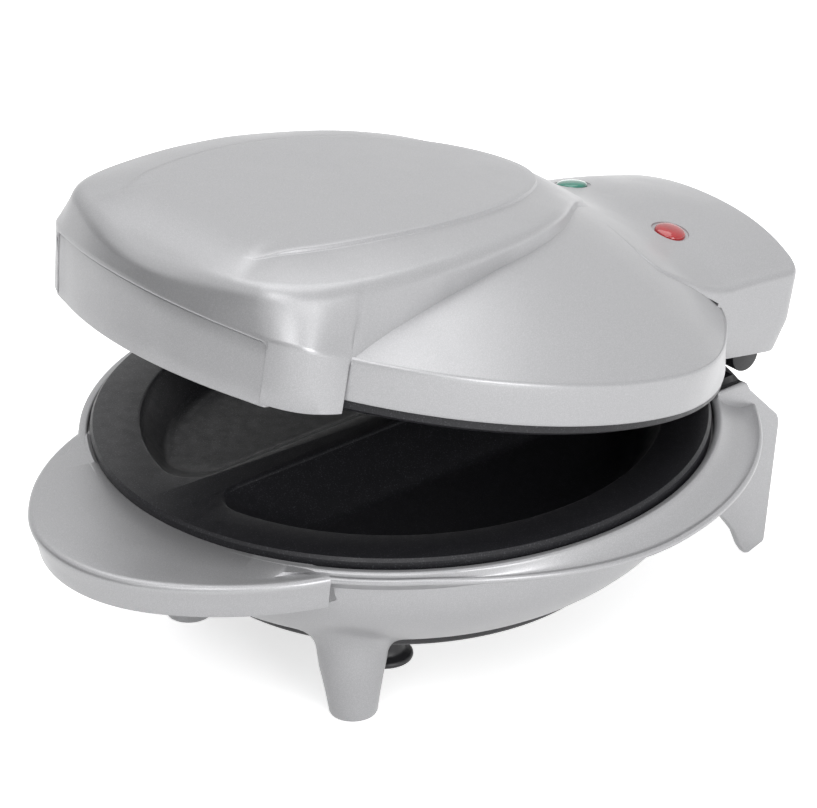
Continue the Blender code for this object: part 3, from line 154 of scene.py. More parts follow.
def spin(name: str, profile: Sequence[Plan], steps: int, centre: Plan = (0.0, 0.0)) -> Piece:
    """Spin an open profile about an upright axis.

    Args:
        name: The new object's name.
        profile: Pairs of radius and height in millimetres, from one end to the other.
        steps: Steps of the full turn.
        centre: Where the axis stands, in millimetres.

    Returns:
        The new mesh object.
    """
    deselect_all()
    bpy.ops.mesh.primitive_circle_add(vertices=len(profile), radius=1.0)
    piece = bpy.context.object
    piece.name = piece.data.name = name
    mesh = piece.data
    mesh.vertices.foreach_set("co", [value for radius, height in profile for value in metres(radius, 0.0, height)])
    for vertex in mesh.vertices:
        vertex.select = False
    ends = {0, len(profile) - 1}
    for edge in mesh.edges:
        edge.select = set(edge.vertices) == ends
    bpy.ops.object.mode_set(mode="EDIT")
    bpy.ops.mesh.select_mode(type="EDGE")
    bpy.ops.mesh.delete(type="EDGE")
    bpy.ops.mesh.select_mode(type="VERT")
    bpy.ops.mesh.select_all(action="SELECT")
    bpy.ops.mesh.spin(steps=steps, angle=tau, center=(0.0, 0.0, 0.0), axis=(0.0, 0.0, 1.0))
    bpy.ops.object.mode_set(mode="OBJECT")
    mesh.transform(Matrix.Translation(metres(*centre, 0.0)))
    clean(piece)
    return piece


def apply_modifier(piece: Piece, kind: str, **settings: object) -> None:
    """Add a modifier with its settings and apply it.

    Args:
        piece: The object that is shaped.
        kind: The modifier's type.
        **settings: The modifier's properties.
    """
    select_only(piece)
    modifier = piece.modifiers.new(kind.title(), kind)
    for key, value in settings.items():
        setattr(modifier, key, value)
    bpy.ops.object.modifier_apply(modifier=modifier.name)


def bevel(piece: Piece, width: float, segments: int) -> None:
    """Round a piece's sharp edges by a width in millimetres."""
    apply_modifier(piece, "BEVEL", width=width * MM, segments=segments, limit_method="ANGLE",
                   angle_limit=radians(40))


def join(name: str, pieces: Sequence[Piece]) -> Piece:
    """Join mesh objects into the first of them.

    Args:
        name: The joined object's name.
        pieces: The objects to join.

    Returns:
        The joined object.
    """
    select_only(pieces[0])
    for piece in pieces:
        piece.select_set(True)
    bpy.ops.object.join()
    joined = bpy.context.object
    joined.name = joined.data.name = name
    return joined


def smooth(piece: Piece, limit: float) -> None:
    """Shade a piece smooth, with edges sharper than a limit in degrees left crisp."""
    select_only(piece)
    bpy.ops.object.shade_smooth_by_angle(angle=radians(limit))


def fit(piece: Piece, body: Body, node: str, slot: str, finishes: Finishes) -> Piece:
    """Put a finished piece in its place in the frame, dress it and hang it on its body.

    Args:
        piece: The piece, drawn in its body's own plane.
        body: The body that it rides on.
        node: The frame's node that it stands for.
        slot: The material slot.
        finishes: The finishes, one of which has the slot's name.

    Returns:
        The same piece.
    """
    piece.data.transform(body.place())
    piece.data.materials.clear()
    piece.data.materials.append(getattr(finishes, slot))
    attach(piece, body.value)
    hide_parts(node)
    LOG.info("%s: %d faces on %s", piece.name, len(piece.data.polygons), body.value)
    return piece


def cut(piece: Piece, cutter: Piece) -> None:
    """Take a solid out of a piece."""
    apply_modifier(piece, "BOOLEAN", object=cutter, operation="DIFFERENCE", solver="EXACT")
    bpy.data.objects.remove(cutter)


def merge(piece: Piece, other: Piece) -> None:
    """Make two solids into one, in the first of them."""
    apply_modifier(piece, "BOOLEAN", object=other, operation="UNION", solver="EXACT")
    bpy.data.objects.remove(other)


# Curves and outlines


def catmull(points: Sequence[Sequence[float]], steps: int, closed: bool) -> list[tuple[float, ...]]:
    """Return a smooth curve through points.

    Args:
        points: The points that it passes.
        steps: Steps from each point to the next.
        closed: Whether it goes round.

    Returns:
        The curve's points.
    """
    count = len(points)
    curve = []
    for i in range(count if closed else count - 1):
        picks = [(i + k) % count if closed else min(max(i + k, 0), count - 1) for k in (-1, 0, 1, 2)]
        before, here, after, beyond = (Vector(points[k]) for k in picks)
        for step in range(steps):
            t = step / steps
            curve.append(tuple(0.5 * (2 * here + (after - before) * t
                                      + (2 * before - 5 * here + 4 * after - beyond) * t * t
                                      + (3 * here - before - 3 * after + beyond) * t ** 3)))
    if not closed:
        curve.append(tuple(points[-1]))
    return curve


def interpolate(table: Sequence[Plan], at: float) -> float:
    """Read a rising table of (place, value) between its rows, with a straight line."""
    if at <= table[0][0]:
        return table[0][1]
    for (low, first), (high, second) in zip(table, table[1:]):
        if at <= high:
            return first + (second - first) * (at - low) / (high - low)
    return table[-1][1]


def ease(share: float) -> float:
    """Return a share from 0 to 1, eased at both ends."""
    share = min(1.0, max(0.0, share))
    return share * share * (3.0 - 2.0 * share)


def soft_max(first: float, second: float, width: float) -> float:
    """Return the higher of two heights, with a fillet where they cross."""
    share = max(width - abs(first - second), 0.0) / width
    return max(first, second) + share * share * width / 4.0


def rounded(start: Sequence[float], corner: Sequence[float], end: Sequence[float], share: float) -> tuple[float, ...]:
    """Return a point on the rounding from one point to another that a corner pulls outwards."""
    return tuple(a * (1 - share) ** 2 + 2 * b * share * (1 - share) + c * share * share
                 for a, b, c in zip(start, corner, end))


class Outline:
    """A closed plan seen from a centre: its reach is known for every direction."""

    def __init__(self, half: Sequence[Plan], centre_y: float, steps: int = 16) -> None:
        """Mirror a right-hand half, from the front point to the back point, and measure it round its centre.

        Args:
            half: Points in millimetres from the front point to the back point.
            centre_y: The centre's place on the middle line, in millimetres.
            steps: Fineness of the smooth curve.
        """
        around = list(half) + [(-x, y) for x, y in reversed(half[1:-1])]
        self.centre_y = centre_y
        table = []
        for x, y in catmull(around, steps, True):
            table.append((atan2(y - centre_y, x) % tau, hypot(x, y - centre_y)))
        table.sort()
        self.table = [(table[-1][0] - tau, table[-1][1])] + table + [(table[0][0] + tau, table[0][1])]

    def reach(self, angle: float) -> float:
        """Return the distance of the outline from its centre in a direction."""
        return interpolate(self.table, angle % tau)

    def point(self, angle: float, out: float = 0.0) -> Plan:
        """Return the outline's point in a direction, moved outwards by a distance, in millimetres."""
        reach = self.reach(angle) + out
        return (reach * cos(angle), self.centre_y + reach * sin(angle))


def metres(x: float, y: float, z: float) -> Point:
    """Turn a place from millimetres to metres."""
    return (x * MM, y * MM, z * MM)


def turns(steps: int) -> list[float]:
    """Return the directions of a full turn, evenly spread."""
    return [tau * i / steps for i in range(steps)]


def around(angles: Sequence[float], radius: float, height: float, centre: Plan = (0.0, 0.0)) -> list[Point]:
    """Return a level ring about a centre, from a radius and a height in millimetres."""
    return [metres(centre[0] + radius * cos(a), centre[1] + radius * sin(a), height) for a in angles]


def directions(steps: int, marks: Sequence[float]) -> list[float]:
    """Return evenly spread directions, with marked ones and their mirror images in place of their neighbours."""
    marks = [angle % tau for mark in marks for angle in (mark, pi - mark)]
    near = tau / steps * 0.45
    even = [a for a in turns(steps) if all(abs(remainder(a - b, tau)) > near for b in marks)]
    return sorted(even + marks)


def crossing(before: float, after: float, passed: Callable[[float], bool]) -> float:
    """Return the direction between two others where a condition begins to hold."""
    for _ in range(40):
        middle = (before + after) / 2
        if passed(middle):
            after = middle
        else:
            before = middle
    return after


# Finishes


def linear(colour: str) -> tuple[float, float, float, float]:
    """Turn an sRGB hex colour to the linear values that a shader takes."""
    values = [int(colour[i:i + 2], 16) / 255 for i in (1, 3, 5)]
    return (*(v / 12.92 if v <= 0.04045 else ((v + 0.055) / 1.055) ** 2.4 for v in values), 1.0)


class NodeDesk:
    """A node tree, with one way to add a node."""

    def __init__(self, owner: Material | bpy.types.World, output: str) -> None:
        """Empty the tree of a material or a world and add its output.

        Args:
            owner: The material or world.
            output: The output node's type.
        """
        owner.use_nodes = True
        self.tree = owner.node_tree
        self.tree.nodes.clear()
        self.output = self.add(output)

    def add(self, kind: str, settings: dict[str, object] | None = None, **inputs: object) -> bpy.types.Node:
        """Add a node with its settings, values and links.

        Args:
            kind: The node's type.
            settings: Properties of the node itself.
            **inputs: Values or output sockets for its inputs, named with underscores for spaces.

        Returns:
            The new node.
        """
        node = self.tree.nodes.new(kind)
        for key, value in (settings or {}).items():
            setattr(node, key, value)
        self.set(node, **inputs)
        return node

    def set(self, node: bpy.types.Node, **inputs: object) -> None:
        """Give a node's inputs their values or links."""
        for key, value in inputs.items():
            name = key.replace("_", " ")
            socket = node.inputs[int(key[1:])] if key[0] == "i" and key[1:].isdigit() else node.inputs[name]
            if isinstance(value, Socket):
                self.tree.links.new(value, socket)
            else:
                socket.default_value = value

    def in_view(self) -> Socket:
        """Return 1 for rays from the camera, straight, mirrored or through a lens, and 0 for plain light."""
        rays = self.add("ShaderNodeLightPath").outputs
        seen = rays["Is Camera Ray"]
        for kind in ("Is Glossy Ray", "Is Transmission Ray"):
            seen = self.add("ShaderNodeMath", {"operation": "MAXIMUM"}, i0=seen, i1=rays[kind]).outputs[0]
        return seen


class FinishDesk(NodeDesk):
    """A material's node tree, with its principled shader and the patterns that feed it."""

    def __init__(self, name: str) -> None:
        """Start a material with a shader and nothing else."""
        self.material = bpy.data.materials.new(name)
        super().__init__(self.material, "ShaderNodeOutputMaterial")
        self.shader = self.add("ShaderNodeBsdfPrincipled")
        self.set(self.output, i0=self.shader.outputs[0])

    def noise(self, grain: float, detail: float = 2.0) -> Socket:
        """Return a noise whose grain is a size in metres."""
        place = self.add("ShaderNodeTexCoord").outputs["Object"]
        return self.add("ShaderNodeTexNoise", Vector=place, Scale=1.0 / grain, Detail=detail).outputs["Fac"]

    def ramp(self, source: Socket, low: float, high: float, first: float, second: float) -> Socket:
        """Return a value that runs between two levels as the source runs between two others."""
        node = self.add("ShaderNodeMapRange", i0=source, i1=low, i2=high, i3=first, i4=second)
        return node.outputs[0]

    def blend(self, share: Socket, first: str, second: str) -> Socket:
        """Return a colour between two sRGB colours."""
        node = self.add("ShaderNodeMix", {"data_type": "RGBA"}, i0=share, i6=linear(first), i7=linear(second))
        return node.outputs[2]

    def bump(self, height: Socket, depth: float) -> None:
        """Give the shader a bump of a depth in metres."""
        node = self.add("ShaderNodeBump", Height=height, Distance=depth, Strength=1.0)
        self.set(self.shader, Normal=node.outputs[0])


@dataclass(frozen=True)
class SilverPaint:
    """Metallic lacquer, sprayed on moulded plastic: satin, with a fine flake that catches the light."""

    body: str = "#a6a6a8"
    flake: str = "#b4b4b6"
    metallic: float = 0.40
    roughness: float = 0.36
    flake_size: float = 0.0003      # real flakes are 0.05 mm, drawn coarser so that they show
    peel_size: float = 0.0030       # the lacquer's slight orange peel

    def build(self) -> Material:
        """Return the material."""
        desk = FinishDesk("silver_paint")
        flakes = desk.noise(self.flake_size, 1.0)
        share = desk.ramp(flakes, 0.42, 0.68, 0.0, 1.0)
        desk.set(desk.shader, Base_Color=desk.blend(share, self.body, self.flake), Metallic=self.metallic,
                 Roughness=desk.ramp(desk.noise(0.018), 0.3, 0.7, self.roughness - 0.03, self.roughness + 0.04))
        desk.bump(desk.noise(self.peel_size, 2.0), 0.00001)
        return desk.material


@dataclass(frozen=True)
class MouldedBlack:
    """Black phenolic plastic from a spark-eroded mould: soft sheen over a fine grain."""

    name: str = "black_plastic"
    low: str = "#161618"
    high: str = "#232326"
    roughness: float = 0.46
    grain: float = 0.0006

    def build(self) -> Material:
        """Return the material."""
        desk = FinishDesk(self.name)
        desk.set(desk.shader, Base_Color=desk.blend(desk.noise(0.012), self.low, self.high),
                 Roughness=desk.ramp(desk.noise(self.grain), 0.3, 0.7, self.roughness - 0.05, self.roughness + 0.08),
                 IOR=1.5)
        desk.bump(desk.noise(self.grain, 2.0), 0.00003)
        return desk.material


@dataclass(frozen=True)
class NonStick:
    """Fluoropolymer coating, sprayed and baked on cast aluminium: satin dark grey with a mineral speckle."""

    ground: str = "#222225"
    speck: str = "#4d4d52"
    roughness: float = 0.38
    speck_size: float = 0.0005

    def build(self) -> Material:
        """Return the material."""
        desk = FinishDesk("non_stick_coating")
        specks = desk.ramp(desk.noise(self.speck_size, 1.0), 0.58, 0.76, 0.0, 0.8)
        desk.set(desk.shader, Base_Color=desk.blend(specks, self.ground, self.speck), Metallic=0.1,
                 Roughness=desk.ramp(desk.noise(0.004), 0.3, 0.7, self.roughness - 0.05, self.roughness + 0.06),
                 IOR=1.38)
        desk.bump(desk.noise(self.speck_size, 2.0), 0.00004)
        return desk.material


@dataclass(frozen=True)
class Metal:
    """Bare rolled or drawn metal: bright, with fine drawing lines."""

    name: str
    colour: str
    roughness: float

    def build(self) -> Material:
        """Return the material."""
        desk = FinishDesk(self.name)
        lines = desk.noise(0.0008, 3.0)
        desk.set(desk.shader, Base_Color=linear(self.colour), Metallic=1.0,
                 Roughness=desk.ramp(lines, 0.3, 0.7, self.roughness - 0.05, self.roughness + 0.08))
        desk.bump(lines, 0.00001)
        return desk.material


@dataclass(frozen=True)
class Matt:
    """Rubber, fired ceramic or board: no sheen, a slight mottle and a fine grain."""

    name: str
    low: str
    high: str
    roughness: float
    grain: float

    def build(self) -> Material:
        """Return the material."""
        desk = FinishDesk(self.name)
        grain = desk.noise(self.grain, 3.0)
        desk.set(desk.shader, Base_Color=desk.blend(grain, self.low, self.high), Roughness=self.roughness, IOR=1.5)
        desk.bump(grain, 0.00004)
        return desk.material


@dataclass(frozen=True)
class TintedLens:
    """Coloured polycarbonate, polished in the mould: light goes in and the colour deepens."""

    name: str
    tint: str
    deep: str

    def build(self) -> Material:
        """Return the material."""
        desk = FinishDesk(self.name)
        desk.set(desk.shader, Base_Color=desk.blend(desk.noise(0.003), self.deep, self.tint), Roughness=0.08,
                 IOR=1.585, Transmission_Weight=0.1, Coat_Weight=0.5, Coat_Roughness=0.03)
        return desk.material


def made(recipe: SilverPaint | MouldedBlack | NonStick | Metal | Matt | TintedLens) -> Material:
    """Return a field whose material is built from its recipe, in the order of the fields."""
    return field(default_factory=recipe.build)


@dataclass
class Finishes:
    """Every finish of the cooker, built once and named after its material slot."""

    silver_paint: Material = made(SilverPaint())
    black_plastic: Material = made(MouldedBlack())
    non_stick_coating: Material = made(NonStick())
    bright_steel: Material = made(Metal("bright_steel", "#c3c4c6", 0.28))
    aluminised_sheet: Material = made(Metal("aluminised_sheet", "#cfd0d2", 0.38))
    rubber: Material = made(Matt("rubber", "#1c1c1c", "#2a2a2b", 0.8, 0.0008))
    ceramic: Material = made(Matt("ceramic", "#cbc4b5", "#dcd6ca", 0.6, 0.001))
    circuit_board: Material = made(Matt("circuit_board", "#6d5532", "#7c6340", 0.55, 0.0008))
    red_lens: Material = made(TintedLens("red_lens", "#c4121c", "#8c0a12"))
    green_lens: Material = made(TintedLens("green_lens", "#12907a", "#04604e"))
    lamp_glass: Material = made(TintedLens("lamp_glass", "#f2e6da", "#e2cdb8"))

    def dress_frame(self) -> None:
        """Give every node that the frame still shows its finish."""
        for name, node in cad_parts.items():
            for held in node.material_slots:
                key = held.material.name.split(".")[0] if held.material else ""
                held.material = vars(self).get(key, held.material)
            LOG.info("frame node %s dressed", name)


# Lid


DOME_PEAK, DOME_SPHERE, DOME_REACH = 50.0, 207.6, 120.0     # height, radius of curvature and widest radius
NOSE_ARC, NOSE_CENTRE = 139.0, 10.2                         # plan of the tongue's front wall
POCKET_HALF_WIDTH, POCKET_TOP, POCKET_ARCH = 57.6, 19.5, 1.9     # grip pocket: its ceiling falls towards the ends


def dome_height(radius: float) -> float:
    """Return the dome's height above the skirt plane at a distance from the middle, in millimetres."""
    return DOME_PEAK - DOME_SPHERE + sqrt(DOME_SPHERE * DOME_SPHERE - min(radius, DOME_REACH) ** 2)


def draw_in(angle: float, radius: float, height: float) -> float:
    """Return how far the lid's round plan is drawn in behind, where it runs into the hinge housing."""
    behind = ease((degrees(asin(sin(angle))) - 12.0) / 34.0)
    return behind * (3.0 + 3.8 * ease(height / 14.0)) * min(radius / 114.0, 1.0) ** 4


def nose_arc(x: float) -> float:
    """Return the place of the tongue's front wall across the lid, in millimetres."""
    return NOSE_CENTRE - sqrt(NOSE_ARC ** 2 - x * x)


def pocket_top(x: float) -> float:
    """Return the height of the grip pocket's arched ceiling, which turns down at its two corners."""
    corner = 2.0
    aside = max(abs(x) - (POCKET_HALF_WIDTH - corner), 0.0)
    turned_down = corner - sqrt(max(corner * corner - aside * aside, 0.0))
    return POCKET_TOP - POCKET_ARCH * (x / POCKET_HALF_WIDTH) ** 2 - turned_down


@dataclass
class Tongue:
    """The lid's raised tongue: a leaf with a fine step, a soft nose, leaning walls and a pocket for the grip panel.

    Every direction from the tongue's middle has one section, from the leaf outwards and back along the inner side.
    """

    steps: int = 288
    centre: float = -43.0
    foot_points: tuple[Plan, ...] = (
        (0, -128.8), (17.8, -127.65), (35.6, -124.15), (53.4, -118.2), (62.7, -113.6), (68.3, -107.8), (70.6, -100.5),
        (71.2, -91.0), (70.3, -79.0), (68.2, -55.0), (63.6, -30.0), (58.9, -10.0), (52.2, 7.0), (42.6, 23.4),
        (32.0, 36.4), (21.0, 49.4), (15.0, 59.0), (8.0, 66.0), (0, 68.0))
    edge_points: tuple[Plan, ...] = (
        (0, -127.8), (14.5, -127.0), (27.5, -124.8), (38.0, -122.0), (47.0, -119.0), (53.0, -115.9), (57.8, -110.4),
        (61.2, -103.5), (64.0, -95.0), (65.8, -86.0), (67.0, -74.0), (67.3, -60.0), (65.2, -38.0), (58.0, -10.0),
        (50.0, 8.5), (40.6, 24.0), (26.0, 41.5), (11.0, 60.0), (0, 66.2))
    edge_heights: tuple[Plan, ...] = (
        (-130, 25.4), (-127.8, 27.4), (-127, 28.3), (-124.8, 30.6), (-122, 32.4), (-119, 33.8), (-115.9, 34.8),
        (-110.4, 35.6), (-103.5, 36.4), (-95, 37.4), (-86, 38.7), (-74, 40.7), (-60, 42.9), (-38, 46.0), (-10, 48.8),
        (8, 49.9), (24, 49.6), (41, 47.2), (60, 42.0), (70, 38.4))
    leaf_points: tuple[Plan, ...] = (
        (0, -113.6), (12.0, -113.5), (22.0, -113.2), (30.0, -112.6), (35.4, -110.5), (38.4, -105.0), (40.8, -99.0),
        (43.2, -91.0), (45.3, -81.0), (46.9, -69.0), (47.7, -55.0), (47.2, -40.0), (43.8, -20.0), (37.4, 0.0),
        (28.8, 17.0), (20.5, 28.0), (13.0, 34.6), (5.5, 38.0), (0, 38.8))
    leaf_heights: tuple[Plan, ...] = (
        (-118, 39.4), (-112, 40.6), (-105, 41.9), (-95, 43.6), (-85, 45.1), (-75, 46.6), (-60, 48.6), (-37, 50.9),
        (-10, 52.5), (10, 53.0), (25, 53.0), (39, 52.4))
    leaf_rise: float = 1.3
    leaf_step: float = 0.8
    nose_turn: float = 25.0
    side_fillet: float = 0.6
    nose_fillet: float = 7.5
    crown: float = 0.8
    bulge: float = 0.5
    hang: float = -4.2
    wall: float = 2.3
    top_wall: float = 3.4
    pocket: float = 3.5
    pocket_knee: float = 21.2
    skirt_knee: float = 15.3
    draft: float = 3.2
    skirt_crossing: float = 115.5

    def __post_init__(self) -> None:
        """Measure the outlines and smooth the two tables of heights."""
        self.foot = Outline(self.foot_points, self.centre)
        self.edge = Outline(self.edge_points, self.centre)
        self.leaf = Outline(self.leaf_points, self.centre)
        self.edge_curve = catmull(self.edge_heights, 8, False)
        self.leaf_curve = catmull(self.leaf_heights, 8, False)

    def build(self) -> Piece:
        """Loft the tongue through its sections and return it."""
        angles = self.angles()
        sections = [self.section(angle) for angle in angles]
        rings = []
        for level in zip(*sections):
            rings.append([metres(reach * cos(a), self.centre + reach * sin(a), height)
                          for a, (reach, height) in zip(angles, level)])
        return loft("tongue", rings)

    def angles(self) -> list[float]:
        """Return the sections' directions, with the pocket's corners and the wall's end at the skirt among them."""
        half = POCKET_HALF_WIDTH
        corners = [atan2(nose_arc(across) - self.centre, across)
                   for across in (52.0, 54.0, 55.6, 56.3, 56.9, 57.3, half, half + 0.03)]
        self.end = crossing(radians(-20.0), radians(-45.0),
                            lambda angle: hypot(*self.foot.point(angle)) > self.skirt_crossing)
        return directions(self.steps, [*corners, self.end - SEAM, self.end + SEAM])

    def section(self, angle: float) -> list[Plan]:
        """Return the section in one direction, as pairs of reach and height."""
        leaf, edge = self.leaf.reach(angle), self.edge.reach(angle)
        foot = max(self.foot.reach(angle), edge + 0.5)
        along = sin(angle)
        aside = degrees(abs(remainder(angle + pi / 2, tau)))
        nose = 1.0 - ease((aside - self.nose_turn) / 14.0)
        rise = self.leaf_rise * ease((aside - self.nose_turn - 1.2) / 3.0)
        edge_height = interpolate(self.edge_curve, self.centre + edge * along)

        def flat(reach: float) -> float:
            share = min(reach / leaf, 1.0)
            return interpolate(self.leaf_curve, self.centre + reach * along) + self.crown * (1.0 - share * share)

        slope = (flat(leaf) - rise - edge_height) / (edge - leaf - 0.6 * nose)
        width = self.side_fillet + self.nose_fillet * nose

        def outside(reach: float) -> float:
            share = min(1.0, max(0.0, (reach - leaf) / (edge - leaf)))
            line = edge_height + slope * (edge - reach) + 4.0 * share * (1.0 - share) * self.bulge * (1.0 - nose)
            return -soft_max(-flat(reach), -line, width)

        fall = flat(leaf) - outside(leaf)
        soft_fall = max(fall, 0.0001)

        def inside(reach: float) -> float:
            step = ease((reach - leaf + self.leaf_step) / self.leaf_step)
            soft = (flat(reach) - outside(reach)) / soft_fall
            return flat(reach) - fall * ((1.0 - nose) * step + nose * soft)

        start = leaf - self.leaf_step
        plateau = [start * s for s in (0.07, 0.16, 0.26, 0.36, 0.46, 0.56, 0.66, 0.76, 0.84, 0.9, 0.95, 1.0)]
        step_down = [start + self.leaf_step * s for s in (0.15, 0.35, 0.5, 0.65, 0.85, 1.0)]
        points = [(reach, inside(reach)) for reach in (AXIS, *plateau, *step_down)]

        x, y = foot * cos(angle), self.centre + foot * along
        radius = hypot(x, y)
        over_dome = abs(remainder(angle + pi / 2, tau)) > self.end + pi / 2
        pocket = not over_dome and aside < 90.0 and abs(nose_x(angle, self.centre)) <= POCKET_HALF_WIDTH + 0.001
        far = ease((-91.4 - y) / 24.0)
        if over_dome:
            knee = dome_height(radius)
        elif pocket:
            knee = self.pocket_knee - POCKET_ARCH * (x / POCKET_HALF_WIDTH) ** 2
        else:
            knee = self.skirt_knee + 4.0 * far
        drop = edge_height - knee
        turn = min(4.2, max(0.6, drop * 0.9), (edge - leaf) * 0.45)
        first = (edge - turn, outside(edge - turn))
        strip = [leaf + (first[0] - leaf) * s for s in (0.05, 0.12, 0.22, 0.34, 0.46, 0.58, 0.7, 0.8, 0.9)]
        points += [(reach, outside(reach)) for reach in strip]
        bend = min(0.45, 4.5 / max(drop, 1.0))
        last = (edge + (foot - edge) * bend, edge_height - drop * bend)
        corner = (edge + 0.2, edge_height + 0.35)
        points += [rounded(first, corner, last, k / 9) for k in range(10)]
        points += [(last[0] + (foot - last[0]) * s, last[1] + (knee - last[1]) * s) for s in (0.35, 0.7, 0.93)]
        points += self.lower_wall(foot, knee, x, over_dome, pocket, far, (foot - edge) / max(drop, 1.0))
        return points + self.inner_side(points[-1], leaf, edge, edge_height, inside)

    def lower_wall(self, foot: float, knee: float, x: float, over_dome: bool, pocket: bool, far: float,
                   lean: float) -> list[Plan]:
        """Return the section's points from the knee down: a tail in the dome, the pocket, or the hanging wall.

        Args:
            foot: Reach of the wall's foot.
            knee: Height where the upper wall ends.
            x: The foot's place across the lid.
            over_dome: Whether the wall stands on the dome.
            pocket: Whether the grip pocket lies in this direction.
            far: Share of the draft, from none at the skirt to all beside the pocket.
            lean: How far the wall runs out for each millimetre down.

        Returns:
            Eight points of reach and height.
        """
        if over_dome:
            return [(foot + lean * s, knee - s) for s in (0.0, 0.25, 0.5, 0.75, 1.0, 1.3, 1.6, 1.9)]
        if pocket:
            top = pocket_top(x)
            back = foot - self.pocket
            return [(foot, knee), (foot, (knee + top) / 2), (foot, top + 0.35), (foot - 0.1, top + 0.1),
                    (foot - 0.35, top), (back, top), (back - self.draft * 0.5, (top + self.hang) / 2),
                    (back - self.draft, self.hang)]
        height = knee - self.hang
        levels = (0.0, 0.06, 0.12, 0.2, 0.4, 0.7, 0.985, 1.0)
        return [(foot - self.draft * far * s - (0.3 if s == 1.0 else 0.0), knee - height * s) for s in levels]

    def inner_side(self, bottom: Plan, leaf: float, edge: float, edge_height: float,
                   top: Callable[[float], float]) -> list[Plan]:
        """Return the section's points from the wall's bottom up inside and in under the top, to the middle.

        Args:
            bottom: The outer wall's lowest point.
            leaf: Reach of the leaf's edge.
            edge: Reach of the top's edge.
            edge_height: Height of the top's edge.
            top: The top's height at a reach.

        Returns:
            Six points of reach and height.
        """
        roof = max(edge_height - 3.6, (edge_height + bottom[1]) / 2)
        inner = min(edge - 3.0, bottom[0] - self.wall)
        points = [(bottom[0] - self.wall, bottom[1]), (inner, (bottom[1] + roof) / 2), (inner, roof)]
        for share in (0.9, 0.5):
            reach = min(leaf, inner) * share
            points.append((reach, min(top(reach) - self.top_wall, roof + 40.0 * (1 - share))))
        return [*points, (AXIS, top(AXIS) - self.top_wall)]


def nose_x(angle: float, centre: float) -> float:
    """Return where a direction from the tongue's middle crosses its front wall, across the lid."""
    slope = cos(angle) / max(-sin(angle), 0.01)
    x = 0.0
    for _ in range(12):
        x = slope * (centre - nose_arc(max(-100.0, min(100.0, x))))
    return x


@dataclass
class LidShell:
    """The lid's painted moulding: dome and skirt, tongue and hinge housing."""

    finishes: Finishes
    wall: float = 2.4
    steps: int = 288

    def build(self) -> Piece:
        """Make the moulding and return it."""
        shell = join("lid_moulding", [self.dome(), Tongue().build(), Housing().build()])
        smooth(shell, 40.0)
        return fit(shell, Body.LID, "lid_shell", "silver_paint", self.finishes)

    def dome(self) -> Piece:
        """Loft the dome and its skirt, down outside and back up inside; behind, both draw in to the hinge."""
        outer = [(114.4 * i / 40, dome_height(114.4 * i / 40)) for i in range(41)]
        edge = [(114.9, 15.9), (115.3, 15.4), (115.45, 14.8), (115.4, 13.5), (115.1, 10.5)]
        foot = [(113.6, 1.2), (113.5, 0.6), (113.2, 0.15), (112.6, 0.0), (111.7, 0.05), (111.3, 0.5)]
        inner = [(112.6, 13.0), (111.8, 14.2)]
        inner += [(111.0 * i / 12, dome_height(111.0 * i / 12) - self.wall) for i in range(12, -1, -1)]
        rings = []
        for r, h in outer + edge + foot + inner:
            reaches = [(a, max(r, AXIS) - draw_in(a, r, h)) for a in turns(self.steps)]
            rings.append([metres(reach * cos(a), reach * sin(a), h) for a, reach in reaches])
        return loft("dome", rings)


@dataclass
class GripPanel:
    """The smooth panel let into the tongue's front wall, where the hand lifts the lid."""

    finishes: Finishes
    half_width: float = 57.35
    bottom: float = -5.2
    thickness: float = 2.2
    recess: float = 1.1
    draft: float = 3.2

    def build(self) -> Piece:
        """Loft the panel from its left end to its right end."""
        half = [0.0] + [4.0 * i for i in range(1, 13)] + [50.5, 52.5, 54.0, 55.2, 56.0, 56.6]
        stations = [(x, 0.0) for x in half] + [(56.95, 0.04), (57.2, 0.15), (self.half_width, 0.45)]
        stations = [(-x, inset) for x, inset in reversed(stations[1:])] + stations
        panel = loft("grip_panel_fine", [self.section(x, inset) for x, inset in stations], cap=True)
        smooth(panel, 40.0)
        return fit(panel, Body.LID, "grip_panel", "silver_paint", self.finishes)

    def section(self, x: float, inset: float) -> list[Point]:
        """Return the panel's cross-section at a place across the lid, drawn in where an end is rounded."""
        top, low = pocket_top(x) - 0.3 - inset, self.bottom + inset
        edge = 0.5

        def face(height: float) -> float:
            recess = self.recess - 0.6 * ease((abs(x) - 48.0) / 9.0)
            return nose_arc(x) + recess + inset + self.draft * (top - height) / (top - self.bottom)

        outline = [(face(top) + edge, top), (face(top) + 0.2, top - 0.08), (face(top - 0.2) + 0.05, top - 0.25),
                   (face(top - edge), top - edge)]
        outline += [(face(top + (low - top) * s), top + (low - top) * s) for s in (0.25, 0.5, 0.75)]
        outline += [(face(low + edge), low + edge), (face(low + 0.2) + 0.05, low + 0.25),
                    (face(low) + 0.2, low + 0.08), (face(low) + edge, low),
                    (face(low) + self.thickness - inset, low), (face(top) + self.thickness - inset, top)]
        return [metres(x, y, z) for y, z in outline]


def housing_top(x: float, y: float) -> float:
    """Return the height of the hinge housing's crowned top, in millimetres above the skirt plane."""
    back = y - 91.5
    return 35.5 - x * x / 366.4 - x ** 4 * 4.55e-7 + 0.0757 * back - back * back / 595.2


